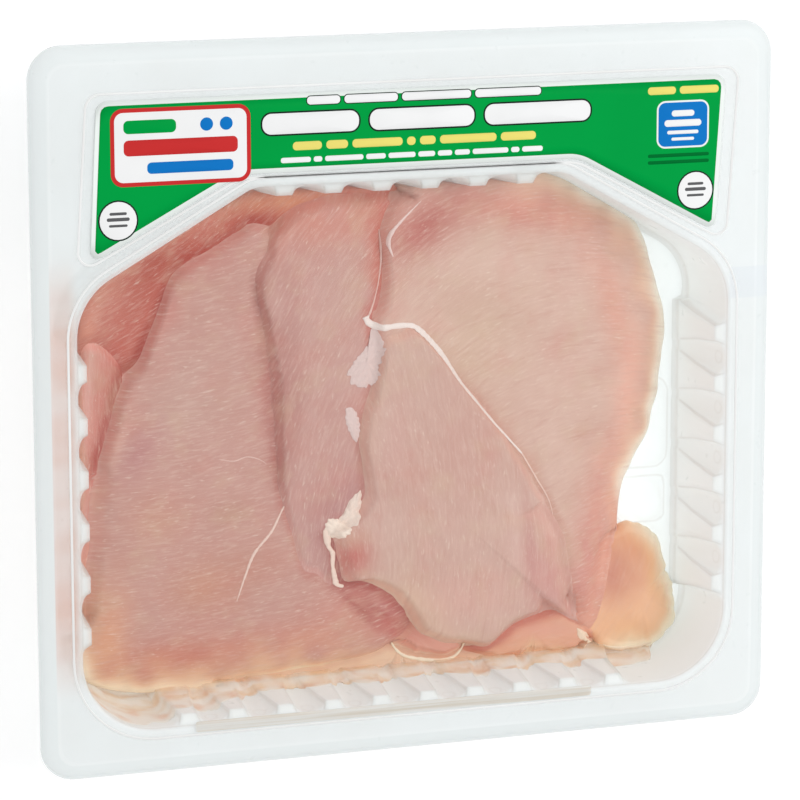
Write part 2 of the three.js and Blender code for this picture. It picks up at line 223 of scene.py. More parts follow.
# noise of a size on stretched and moved coordinates; source is an output socket
def noiseOn(tree, source, size, detail=3.0, roughness=0.55, stretch=(1, 1, 1), move=(0, 0, 0), wobble=0.0):
    mapping = addNode(tree, "ShaderNodeMapping")
    setInputs(mapping, {"Scale": stretch, "Location": move})
    noise = addNode(tree, "ShaderNodeTexNoise")
    setInputs(noise, {"Scale": size, "Detail": detail, "Roughness": roughness, "Distortion": wobble})
    join(tree, source, mapping.inputs["Vector"])
    join(tree, mapping.outputs["Vector"], noise.inputs["Vector"])
    return noise.outputs["Fac"]


# socket value spread from low..high to first..last, clamped
def spread(tree, source, low, high, first=0.0, last=1.0, eased=False):
    node = addNode(tree, "ShaderNodeMapRange")
    if eased:
        node.interpolation_type = "SMOOTHSTEP"
    setInputs(node, {"From Min": low, "From Max": high, "To Min": first, "To Max": last})
    join(tree, source, node.inputs["Value"])
    return node.outputs["Result"]


# sockets and numbers taken together by one operation, from the first to the last
def mathOn(tree, operation, first, *others):
    result = first
    for other in others or (None,):
        node = addNode(tree, "ShaderNodeMath", operation=operation)
        for socket, value in zip(node.inputs, (result, other)):
            if isinstance(value, (int, float)):
                socket.default_value = value
            elif value is not None:
                join(tree, value, socket)
        result = node.outputs["Value"]
    return result


# product of the spreads of some sockets, each over its own two ends
def insideOf(tree, stretches, eased=False):
    return mathOn(tree, "MULTIPLY", *(spread(tree, source, *ends, eased=eased) for source, ends in stretches))


# line where a value is 0: full strength as far as near, gone at far
def lineAt(tree, value, near, far, strength):
    return spread(tree, mathOn(tree, "ABSOLUTE", value), near, far, strength, 0.0)


# two colours (a socket or a fixed colour each) mixed by a factor socket; a colour Mix node has
# them at inputs 6 and 7 and its result at output 2
def mixColours(tree, factor, first, second):
    node = addNode(tree, "ShaderNodeMix", data_type="RGBA")
    join(tree, factor, node.inputs[0])
    for socket, value in ((node.inputs[6], first), (node.inputs[7], second)):
        if hasattr(value, "is_output"):
            join(tree, value, socket)
        else:
            socket.default_value = rgba(value)
    return node.outputs[2]


def bumpFrom(tree, shader, height, strength, distance):
    node = addNode(tree, "ShaderNodeBump")
    setInputs(node, {"Strength": strength, "Distance": distance * millimetre})
    join(tree, height, node.inputs["Height"])
    join(tree, node.outputs["Normal"], shader.inputs["Normal"])


def objectPlace(tree):
    return addNode(tree, "ShaderNodeTexCoord").outputs["Object"]


def attributeOf(tree, name, output="Fac"):
    return addNode(tree, "ShaderNodeAttribute", attribute_name=name).outputs[output]


cameraView = {
    "place": (-0.4001, 0.2504, 1.2107),
    "right": (0.948, -0.002, 0.319),
    "back": (-0.312, 0.198, 0.929),
    "lens": 176.49,
    "sensor": 36.0,
    "clip": (0.05, 20),
}

back = Vector(cameraView["back"]).normalized()
up = back.cross(Vector(cameraView["right"])).normalized()
right = up.cross(back)
lensData = bpy.data.cameras.new("camera")
lensData.lens = cameraView["lens"]
lensData.sensor_width = cameraView["sensor"]
lensData.clip_start, lensData.clip_end = cameraView["clip"]
camera = addObject("camera", lensData)
turned = Matrix((right, up, back)).transposed().to_4x4()
camera.matrix_world = Matrix.Translation(Vector(cameraView["place"])) @ turned
scene.camera = camera
scene.view_settings.view_transform = "Standard"
scene.view_settings.look = "None"
scene.view_settings.exposure = 0
scene.view_settings.gamma = 1

studio = {
    "sky": (0.985, 0.993, 1.0, 1.0),
    "skyStrength": 0.66,
    # each light: place, size, power
    "lights": {"key": ((0.9, 0.5, 1.5), 1.4, 13.0), "fill": ((-1.2, -0.8, 1.4), 1.6, 4.5)},
    "floorGlow": 0.5,
    "floorTone": tone(205, 205, 205),
    "floorHalf": 3.0,
    "floorDrop": 0.0002,
}

world = bpy.data.worlds.new("studio")
world.use_nodes = True
sky = world.node_tree.nodes["Background"]
setInputs(sky, {"Color": studio["sky"], "Strength": studio["skyStrength"]})
scene.world = world

for name, (place, size, power) in studio["lights"].items():
    lampData = bpy.data.lights.new(name, "AREA")
    lampData.shape = "DISK"
    lampData.size = size
    lampData.energy = power
    lamp = addObject(name, lampData)
    lamp.location = place
    lamp.rotation_euler = (-Vector(place)).to_track_quat("-Z", "Y").to_euler()

floorMaterial, tree, shader = newMaterial("paleFloor")
paleFloor = studio["floorTone"]
cloudy = mixColours(tree, noiseOn(tree, objectPlace(tree), 3.0), paleFloor, paleFloor * 0.98)
join(tree, cloudy, shader.inputs["Base Color"])
setInputs(shader, {"Roughness": 0.8, "Specular IOR Level": 0.1,
                   "Emission Color": (1, 1, 1, 1), "Emission Strength": studio["floorGlow"]})
half = studio["floorHalf"]
floorMesh = bpy.data.meshes.new("floor")
floorCorners = [(-half, -half, 0), (half, -half, 0), (half, half, 0), (-half, half, 0)]
floorMesh.from_pydata(floorCorners, [], [(0, 1, 2, 3)])
floorMesh.materials.append(floorMaterial)
floor = addObject("floor", floorMesh)
floor.location.z = -studio["floorDrop"]
print("camera, light and floor set")

tray = {
    "halfWidth": 125.1,
    "halfLength": 118.0,
    "cornerRadius": 11.0,
    "flangeTop": 33.4,
    "sheet": 0.9,
    "rimRun": 6.0,
    "rimDrop": 3.0,
    "rimSkirt": 0.6,
    # mouth of the pocket: corner x, y and radius, counterclockwise
    "mouth": [(-111.1, -103.0, 24), (109.9, -103.0, 24), (109.9, 37.8, 22),
              (51.7, 71.0, 12), (-52.9, 71.0, 12), (-111.1, 37.8, 22)],
    "cornerSteps": 22,
    "edgeSteps": 24,
    "plainSteps": 90,
    # ribs on side number: count, middle and pitch along the side
    "ribs": {0: (10, -2.4, 16.35), 1: (6, -28.6, 17.1), 3: (6, -1.55, 16.3), 5: (6, -28.6, 17.1)},
    # how far the flank that ends a row of ribs runs from the rib's middle
    "flankEnd": 7.3,
    # columns of a flank, by their share of the way to the pocket's middle, and of a rib's face
    "ribShares": [0, 0.04, 0.1, 0.18, 0.28, 0.4, 0.54, 0.7, 0.86, 1.0],
    "ribFace": [-1, -0.5, 0, 0.5, 1],
    # wall at some depths below the flange: depth, how far in from the mouth the rib, the pocket
    # and the plain wall stand, half a rib's face
    "levels": [(0, -1.2, -1.2, -1.2, 3.8), (1.2, 0, 0, 0, 3.8), (2.9, 3.4, 0.35, 0.1, 2.7),
               (18, 4.0, 2.3, 0.5, 4.4), (30.4, 4.5, 4.1, 0.9, 6.6), (32.5, 6.5, 6.2, 2.9, 6.8)],
    # depths of the rows on the wall, inside and on its back
    "depths": [32.5, 32.42, 32.2, 31.8, 31.2, 30.4, 28.6, 26, 22, 18, 14.5, 11, 8, 6, 4.6, 3.8, 3.2,
               2.9, 2.5, 1.8, 1.2, 0.9, 0.6, 0.35, 0.15, 0.04, 0],
    "backDepths": [0, 0.4, 1.2, 2.0, 2.9, 8, 13, 18, 24, 30.4, 31.4, 32.2, 32.5],
    # rows on the flange: runs out from the lip, then shares of the rest of the way to the rim
    "flangeRun": [0.5, 1.0, 1.6, 2.2, 2.8, 3.4, 4.0, 4.8, 5.6],
    "flangeShares": [0.08, 0.22, 0.38, 0.55, 0.72, 0.88, 1.0],
    "rimSteps": 8,
    # rounding of the hem's lower edge: inwards and up
    "hemRound": (0.1, 0.2),
    # shares of the way from the hem back to the wall, and from the middle to the floor's edge
    "underShares": (0.2, 0.4, 0.6, 0.8),
    "floorShares": [0.3, 0.6, 0.72, 0.78, 0.83, 0.87, 0.9, 0.925, 0.95, 0.97, 0.985, 0.995],
    "bottomShares": (0.9, 0.75, 0.5, 0.25),
    "centre": (-0.6, -16.0),
    "leastTurn": 0.0003,
    "leastRadius": 0.5,
    # what the material reads far from a rib, on the floor, on the rim and far from a pocket
    "farGap": 9.0,
    "floorRun": -40.0,
    "rimDistance": 90.0,
    "farPocket": 20.0,
}


# arc that rounds corner i of a polygon: points and inward normals, counterclockwise
def cornerArc(corners, i, steps):
    before, here, after = (np.array(corners[k % len(corners)], float) for k in (i - 1, i, i + 1))
    arriving, leaving = unit(here[:2] - before[:2]), unit(after[:2] - here[:2])
    turn = np.arctan2(crossOf(arriving, leaving), arriving @ leaving)
    radius = here[2]
    side = np.sign(turn)
    inward = leftOf(arriving)
    entry = here[:2] - arriving * radius * np.tan(abs(turn) / 2)
    angle = np.linspace(0, turn, steps + 1)[:, None]
    normal = inward * np.cos(angle) + leftOf(inward) * np.sin(angle)
    return entry + side * radius * (inward - normal), normal


# rounded polygon as one loop of points
def roundedLoop(corners, steps):
    return np.vstack([cornerArc(corners, i, steps)[0] for i in range(len(corners))])


def boxCorners(x, y, halfX, halfY, radius):
    return [(x + sideX * halfX, y + sideY * halfY, radius)
            for sideX, sideY in ((-1, -1), (1, -1), (1, 1), (-1, 1))]


# polygon corners moved in by a distance, each corner where its two moved sides meet
def insetCorners(corners, distance):
    count = len(corners)
    result = []
    for i in range(count):
        a, b, c = (np.array(corners[k % count][:2], float) for k in (i - 1, i, i + 1))
        first, second = unit(b - a), unit(c - b)
        p, q = a + leftOf(first) * distance, b + leftOf(second) * distance
        turn = crossOf(first, second)
        meet = p + first * crossOf(q - p, second) / turn
        radius = corners[i][2] + distance if turn < 0 else corners[i][2] - distance
        result.append((*meet, max(radius, tray["leastRadius"])))
    return result


# columns of one ribbed side: each rib has a flank that rises to its flat face and one that falls
def ribColumns(i):
    corners = tray["mouth"]
    count, middle, pitch = tray["ribs"][i]
    start = np.array(corners[i][:2], float)
    along = unit(np.array(corners[(i + 1) % len(corners)][:2], float) - start)
    axis = 0 if abs(along[0]) > 0.5 else 1
    sense = np.sign(along[axis])
    falling = np.array(tray["ribShares"])
    face = np.array(tray["ribFace"])
    columns = []
    for k in range(count):
        place = middle + sense * pitch * (k - (count - 1) / 2)
        centre = sense * (place - start[axis])
        # neighbouring flanks share the column in the middle of their pocket
        rising = falling[::-1][:-1] if k == 0 else falling[::-1][1:-1]
        sign = np.concatenate([np.full(len(rising), -1.0), face, np.ones(len(falling) - 1)])
        share = np.concatenate([rising, np.zeros(len(face)), falling[1:]])
        outer = (np.abs(sign) == 1) & (((k == 0) & (sign < 0)) | ((k == count - 1) & (sign > 0)))
        fixed = np.tile(np.concatenate([start, along, leftOf(along), [centre]]), (len(sign), 1))
        columns.append(np.column_stack([fixed, sign, share, np.full(len(sign), pitch), 1 + outer]))
    return columns


# columns round the mouth. Each holds a start point, a direction along the side, the inward
# normal, the rib's middle, which side of it, the share of the way to the pocket's middle, the
# pitch of the ribs, and 0 on a plain wall, 1 at a rib, 2 on a flank that ends a row of ribs
def mouthColumns():
    corners = tray["mouth"]
    columns = []

    def addPlain(points, normals):
        size = len(points)
        columns.append(np.column_stack([points, np.zeros((size, 2)), normals, np.zeros((size, 5))]))

    for i in range(len(corners)):
        points, normals = cornerArc(corners, i, tray["cornerSteps"])
        addPlain(points, normals)
        if i in tray["ribs"]:
            columns += ribColumns(i)
        else:
            ahead = cornerArc(corners, i + 1, 1)[0][0]
            share = np.linspace(0, 1, tray["plainSteps"] + 1)[1:-1, None]
            addPlain(points[-1] + (ahead - points[-1]) * share, np.tile(normals[-1], (len(share), 1)))
    return np.vstack(columns)


# wall at one depth: the inset is rib - (rib - low) * sqrt(1 - (1 - share)^2), an elliptic
# pocket between the flat rib faces; lip and foot are quarter rounds
def wallRow(columns, depth, outward=0.0):
    levels = np.array(tray["levels"])
    lipDepth, footDepth, floorDepth = levels[[1, 4, 5], 0]
    looked = depth
    if depth < lipDepth:
        looked = lipDepth * np.sqrt(1 - (1 - depth / lipDepth) ** 2)
    elif depth > footDepth:
        t = (depth - footDepth) / (floorDepth - footDepth)
        looked = footDepth + (floorDepth - footDepth) * (1 - np.sqrt(1 - t * t))
    rib, pocket, plain, halfFace = (np.interp(looked, levels[:, 0], levels[:, k]) for k in (1, 2, 3, 4))
    start, along, inward = columns[:, 0:2], columns[:, 2:4], columns[:, 4:6]
    centre, sign, share, pitch, kind = columns[:, 6:].T
    ribbed = kind > 0
    reach = np.where(kind == 2, tray["flankEnd"] - halfFace, pitch / 2 - halfFace)
    low = np.where(kind == 2, plain, pocket)
    rise = np.sqrt(np.clip(1 - (1 - share) ** 2, 0, 1))
    inset = np.where(ribbed, rib - (rib - low) * rise, plain) - outward
    run = np.where(ribbed, centre + sign * halfFace + np.sign(sign) * reach * share, 0)
    flat = start + along * run[:, None] + inward * inset[:, None]
    z = np.full(len(flat), tray["flangeTop"] - depth - outward)
    # how far along the side from the edge of the rib's face, negative on the face
    fromEdge = np.where(np.abs(sign) < 1, -(1 - np.abs(sign)) * halfFace, reach * share)
    return np.column_stack([flat, z]), np.where(ribbed, fromEdge, tray["farGap"])


# rounded rectangle met by the ray from the pocket's middle through each column's direction
def rectangleRow(directions, inset, z):
    radius = max(tray["cornerRadius"] - inset, tray["leastRadius"])
    corners = boxCorners(0, 0, tray["halfWidth"] - inset, tray["halfLength"] - inset, radius)
    centre = np.array(tray["centre"])
    loop = roundedLoop(corners, tray["edgeSteps"])
    angle = roundMiddle(loop, centre)[0]
    order = np.argsort(angle)
    order = np.concatenate([order[-1:], order, order[:1]])
    angle, fromCentre = angle[order], loop[order] - centre
    angle[0] -= fullTurn
    angle[-1] += fullTurn
    k = np.clip(np.searchsorted(angle, directions, side="right") - 1, 0, len(angle) - 2)
    edge = fromCentre[k + 1] - fromCentre[k]
    ray = fromMiddle(directions, 1, 0)
    length = crossOf(fromCentre[k], edge) / crossOf(ray, edge)
    return np.column_stack([centre + ray * length[:, None], np.full(len(directions), z)])


# signed distance to a rounded box: |max(d, 0)| + min(max(dx, dy), 0) - radius, where d is
# |point - middle| - half size + radius; positive outside
def boxGap(x, y, middleX, middleY, halfX, halfY, radius):
    dx = np.abs(x - middleX) - halfX + radius
    dy = np.abs(y - middleY) - halfY + radius
    outside = np.hypot(np.maximum(dx, 0), np.maximum(dy, 0))
    return outside + np.minimum(np.maximum(dx, dy), 0) - radius


# a row's points moved round the middle so that their angle grows by at least a small step
def steadyRow(row):
    angle, distance = roundMiddle(row, tray["centre"])
    least = tray["leastTurn"] * np.arange(len(row))
    angle = np.maximum.accumulate(np.unwrap(angle) - least) + least
    return np.column_stack([fromMiddle(angle, distance, tray["centre"]), row[:, 2]])


floorRelief = {
    "height": 0.5,
    "soft": 0.8,
    # the panels fade out between these shares of the way to the floor's edge
    "ends": (1.0, 0.96),
    # raised panels on the floor: middle x, y, half sizes, corner radius
    "panels": [(88, -21, 14, 15.5, 5), (92, -47.5, 9, 8, 2)],
    # small round dimples in the pockets of the right and lower walls
    "dimpleDepth": 5.6,
    "dimpleRadius": 2.1,
}


# the tray as rows round the pocket's middle: floor, wall, flange, rolled rim, and back under
# them at one thickness. Beside the shape each point keeps its gap to the nearest rib's edge, and
# its run from the lip: outwards on the flange, negative down the wall
def makeTray():
    columns = mouthColumns()
    top, sheet = tray["flangeTop"], tray["sheet"]
    centre = np.array(tray["centre"])
    rows, gaps, runs = [], [], []

    def addRow(row, run, gap=tray["farGap"]):
        rows.append(row)
        gaps.append(np.broadcast_to(gap, len(row)))
        runs.append(np.broadcast_to(run, len(row)))

    def shrunk(row, share):
        return np.column_stack([centre + (row[:, :2] - centre) * share, row[:, 2]])

    foot = steadyRow(wallRow(columns, tray["depths"][0])[0])
    for share in tray["floorShares"]:
        row = shrunk(foot, share)
        for panel in floorRelief["panels"]:
            gap = boxGap(row[:, 0], row[:, 1], *panel)
            inside = easedStep(floorRelief["soft"], -floorRelief["soft"], gap)
            row[:, 2] += floorRelief["height"] * inside * easedStep(*floorRelief["ends"], share)
        addRow(row, tray["floorRun"])
    for depth in tray["depths"]:
        row, gap = wallRow(columns, depth)
        addRow(foot if depth == tray["depths"][0] else row, -depth, gap)
    lip = rows[-1]
    for run in tray["flangeRun"]:
        addRow(lip - np.pad(columns[:, 4:6], ((0, 0), (0, 1))) * run, run)
    lastBand = rows[-1]
    directions = roundMiddle(lip, centre)[0]
    toRim = rectangleRow(directions, tray["rimRun"], top) - lastBand
    for share in tray["flangeShares"]:
        addRow(lastBand + toRim * share, tray["flangeRun"][-1] + share * np.linalg.norm(toRim, axis=1))
    # rolled rim: a quarter ellipse down to the hem, then back up under it
    quarter = np.linspace(0, np.pi / 2, tray["rimSteps"] + 1)
    hem = tray["rimDrop"] + tray["rimSkirt"]
    hemIn, hemUp = tray["hemRound"]
    over = [(tray["rimRun"] * (1 - np.sin(t)), tray["rimDrop"] * (1 - np.cos(t))) for t in quarter[1:]]
    over += [(0, hem - hemUp), (hemIn, hem), (sheet - hemIn, hem), (sheet, hem - hemUp)]
    under = [(tray["rimRun"] - (tray["rimRun"] - sheet) * np.sin(t),
              tray["rimDrop"] - (tray["rimDrop"] - sheet) * np.cos(t)) for t in quarter[::-1]]
    for inset, drop in over + under:
        addRow(rectangleRow(directions, inset, top - drop), tray["rimDistance"])
    lastUnder = rows[-1]
    backTop = wallRow(columns, 0, sheet)[0]
    for share in tray["underShares"]:
        addRow(lastUnder + (backTop - lastUnder) * share, tray["rimDistance"])
    for depth in tray["backDepths"]:
        row, gap = wallRow(columns, depth, sheet)
        addRow(steadyRow(row) if depth == tray["backDepths"][-1] else row, -depth, gap)
    bottom = rows[-1]
    for share in tray["bottomShares"]:
        addRow(shrunk(bottom, share), tray["floorRun"])
    grid = np.stack(rows)
    poles = [[*centre, foot[0, 2]], [*centre, bottom[0, 2]]]
    points = np.vstack([grid.reshape(-1, 3), poles])
    faces = rowFaces(*grid.shape[:2])
    piece = makePiece("trayShell", points, faces, trayMaterial(), ["tray"])
    # distance along the wall from the middle of a pocket between ribs, on the right and lower walls
    share, pitch, kind = columns[:, 8:].T
    shown = (kind == 1) & ((columns[:, 4] < -0.5) | (columns[:, 5] > 0.5))
    pocketRun = np.where(shown, (1 - share) * (pitch / 2 - tray["levels"][2][4]), tray["farPocket"])
    numbers = {"ribGap": (np.concatenate(gaps), tray["farGap"]),
               "mouthRun": (np.concatenate(runs), tray["floorRun"]),
               "pocketRun": (np.tile(pocketRun, len(grid)), tray["farPocket"])}
    for name, (values, atPoles) in numbers.items():
        addNumbers(piece, name, np.append(values, [atPoles, atPoles]))
    for name, panel in zip(("panelGap", "panelGapLow"), floorRelief["panels"]):
        addNumbers(piece, name, boxGap(points[:, 0], points[:, 1], *panel))
    return piece


trayLook = {
    "flange": tone(243, 248, 248),
    "pocket": tone(236, 237, 232),
    "cloud": tone(232, 233, 230),
    # tone of the painted shade lines at folds, dimple rings and panel edges
    "line": tone(216, 211, 204),
    # painted glow of the pocket, an emission for light through the thin wall, and its strengths
    "glow": tone(226, 240, 248),
    "glowStrength": 0.34,
    "wallGlow": 0.35,
    # rolled rim a little darker: painted shade where it curves down away from the light
    "rim": tone(233, 239, 239),
    "tapeEnd": tone(226, 233, 240),
    "warmBand": tone(226, 172, 150),
    "alpha": 0.5,
    "roughness": (0.27, 0.4),
    # places in metres where a tone fades in and out
    "flangeZ": (0.0300, 0.0330),
    "bandX": [(-0.1100, -0.1150), (-0.1240, -0.1185)],
    "bandY": [(-0.094, -0.07), (0.055, 0.03)],
    # the tape's x also holds its least and its full strength
    "tapeX": (0.1100, 0.1108, 0.0, 0.5),
    "tapeY": [(0.0260, 0.0264), (0.0368, 0.0364)],
    # runs from the lip, in mm, between which the rim, the wall, the floor and the glow fade in
    "rimRuns": (60, 88),
    "wallRuns": [(-31, -29.5), (-1.0, -2.2)],
    "floorRuns": (-33, -34),
    "glowRuns": (0.5, -1.5),
    # depths of the painted shade lines at the folds of the lip and of the wall's foot
    "lipDepth": 0.9,
    "footDepth": 31.6,
    # painted shade lines: half width at full strength, half width where they end, strength
    "ribLine": (0.1, 0.6, 0.75),
    "lipLine": (0.1, 0.5, 0.5),
    "footLine": (0.2, 0.8, 0.55),
    "dimpleLine": (0.1, 0.5, 0.35),
    "panelLine": (0.1, 0.6, 0.45),
}


# milky plastic: warmer inside the pocket, thin darker lines painted where the sheet folds (painted shade,
# partly the thicker sheet there) and a painted glow in the pocket
def trayMaterial():
    material, tree, shader = newMaterial("milkyTray")
    place = objectPlace(tree)
    axes = addNode(tree, "ShaderNodeSeparateXYZ")
    join(tree, place, axes.inputs["Vector"])
    x, y, z = axes.outputs
    run = attributeOf(tree, "mouthRun")
    high = spread(tree, z, *trayLook["flangeZ"], eased=True)
    colour = mixColours(tree, high, trayLook["pocket"], trayLook["flange"])
    cloud = noiseOn(tree, place, 40.0, 2.0)
    colour = mixColours(tree, spread(tree, cloud, 0.35, 0.75, 0.0, 0.35), colour, trayLook["cloud"])
    # the meat inside shows faintly through the wall along the left band of the flange
    edges = [(x, ends) for ends in trayLook["bandX"]] + [(y, ends) for ends in trayLook["bandY"]]
    blotch = spread(tree, noiseOn(tree, place, 55.0, 2.0, stretch=(0.4, 1, 1)), 0.35, 0.65, 0.6, 1.0)
    band = mathOn(tree, "MULTIPLY", insideOf(tree, edges, eased=True), blotch)
    colour = mixColours(tree, band, colour, trayLook["warmBand"])
    # painted shade: the rolled rim a little darker where it curves down away from the light
    colour = mixColours(tree, spread(tree, run, *trayLook["rimRuns"]), colour, trayLook["rim"])
    # faint end of a clear tape on the right of the flange
    edges = [(x, trayLook["tapeX"])] + [(y, ends) for ends in trayLook["tapeY"]]
    colour = mixColours(tree, insideOf(tree, edges), colour, trayLook["tapeEnd"])
    # painted shade lines where the sheet folds, partly the thicker sheet there: beside the ribs, at the lip
    # and at the foot
    onWall = insideOf(tree, [(run, ends) for ends in trayLook["wallRuns"]])
    ribLine = lineAt(tree, attributeOf(tree, "ribGap"), *trayLook["ribLine"])
    lines = [mathOn(tree, "MULTIPLY", ribLine, onWall)]
    for fold in ("lip", "foot"):
        fromFold = mathOn(tree, "ADD", run, trayLook[fold + "Depth"])
        lines.append(lineAt(tree, fromFold, *trayLook[fold + "Line"]))
    # painted shade rings in place of the round dimples, which are not modelled: distance from their middle
    # less their radius
    downWall = mathOn(tree, "ADD", run, floorRelief["dimpleDepth"])
    squares = [mathOn(tree, "POWER", value, 2.0) for value in (attributeOf(tree, "pocketRun"), downWall)]
    fromDimple = mathOn(tree, "POWER", mathOn(tree, "ADD", *squares), 0.5)
    ring = mathOn(tree, "SUBTRACT", fromDimple, floorRelief["dimpleRadius"])
    lines.append(lineAt(tree, ring, *trayLook["dimpleLine"]))
    onFloor = spread(tree, run, *trayLook["floorRuns"])
    # painted shade lines along the edges of the raised floor panels
    for name in ("panelGap", "panelGapLow"):
        edge = lineAt(tree, attributeOf(tree, name), *trayLook["panelLine"])
        lines.append(mathOn(tree, "MULTIPLY", edge, onFloor))
    line = mathOn(tree, "MAXIMUM", *lines)
    join(tree, mixColours(tree, line, colour, trayLook["line"]), shader.inputs["Base Color"])
    # painted glow: emission stands in for the light that comes through the thin wall from outside, stronger
    # on the floor, dimmer along the painted shade lines
    glow = mixColours(tree, onFloor, trayLook["glow"] * trayLook["wallGlow"], trayLook["glow"])
    glow = mixColours(tree, line, glow, trayLook["line"] * trayLook["wallGlow"])
    lit = mixColours(tree, spread(tree, run, *trayLook["glowRuns"]), tone(0, 0, 0), glow)
    join(tree, lit, shader.inputs["Emission Color"])
    grain = noiseOn(tree, place, 260.0)
    rough = spread(tree, grain, 0.3, 0.7, *trayLook["roughness"])
    join(tree, rough, shader.inputs["Roughness"])
    setInputs(shader, {"Emission Strength": trayLook["glowStrength"], "Alpha": trayLook["alpha"]})
    bumpFrom(tree, shader, grain, 0.05, 0.1)
    return material


trayPiece = makeTray()
print("tray made:", len(trayPiece.data.polygons), "faces")

meatRules = {
    # grid of each slice: points round it, rows on its top and the exponent of their spacing,
    # rows over its shoulder and rows underneath
    "around": 288,
    "topShares": 34,
    "shareBend": 0.8,
    "shoulderSteps": 8,
    "underSteps": 12,
    # shoulder: its width, how far it falls over the bare tray and beside the wall, and how far
    # from the wall it begins and ends to fall freely
    "round": 3.2,
    "freeDrop": 4.6,
    "wallDrop": 1.5,
    "freeFrom": (6, 12),
    # underside: its space over what lies below, and how far below the top it stays
    "gap": 0.12,
    "body": 2.6,
    # least height of the top over what lies below, at the rim, and what is added further in
    "edge": 0.3,
    "thin": 0.5,
    "thinRun": -6.0,
    # heights: the tray's floor, how far over it meat begins, and the lid
    "floor": 1.5,
    "meatFrom": (0.5, 3.5),
    "roof": 32.9,
    # rim over other meat: width of its slope, where that ends, and the dip of its very end
    "soft": 4.8,
    "rimEnd": -0.2,
    "feather": 0.14,
    "dive": 0.35,
    "diveRun": -2.5,
    # grid of heights, how many of its steps two running means reach, and how far past its rim
    # a slice still counts
    "fieldStep": 0.5,
    "fieldLow": (-114.0, -106.0),
    "fieldSize": (456, 364),
    "softReach": 5,
    "smoothReach": 1,
    "overlap": 0.3,
    # the pocket's wall: turns of its table, space kept free of it, step between rows beside it
    "wallTurns": 2881,
    "wallGap": 0.35,
    "rowStep": 0.01,
    # painted light on the slopes of rims over other meat: red, green and blue gain against their shade, and
    # the gains of the mottling
    "paintedSlopeLight": np.array([0.12, 0.05, 0.05]),
    "mottle": np.array([0.035, 0.07, 0.08]),
    "fineWave": 0.12,
    "uvScale": 0.01,
}
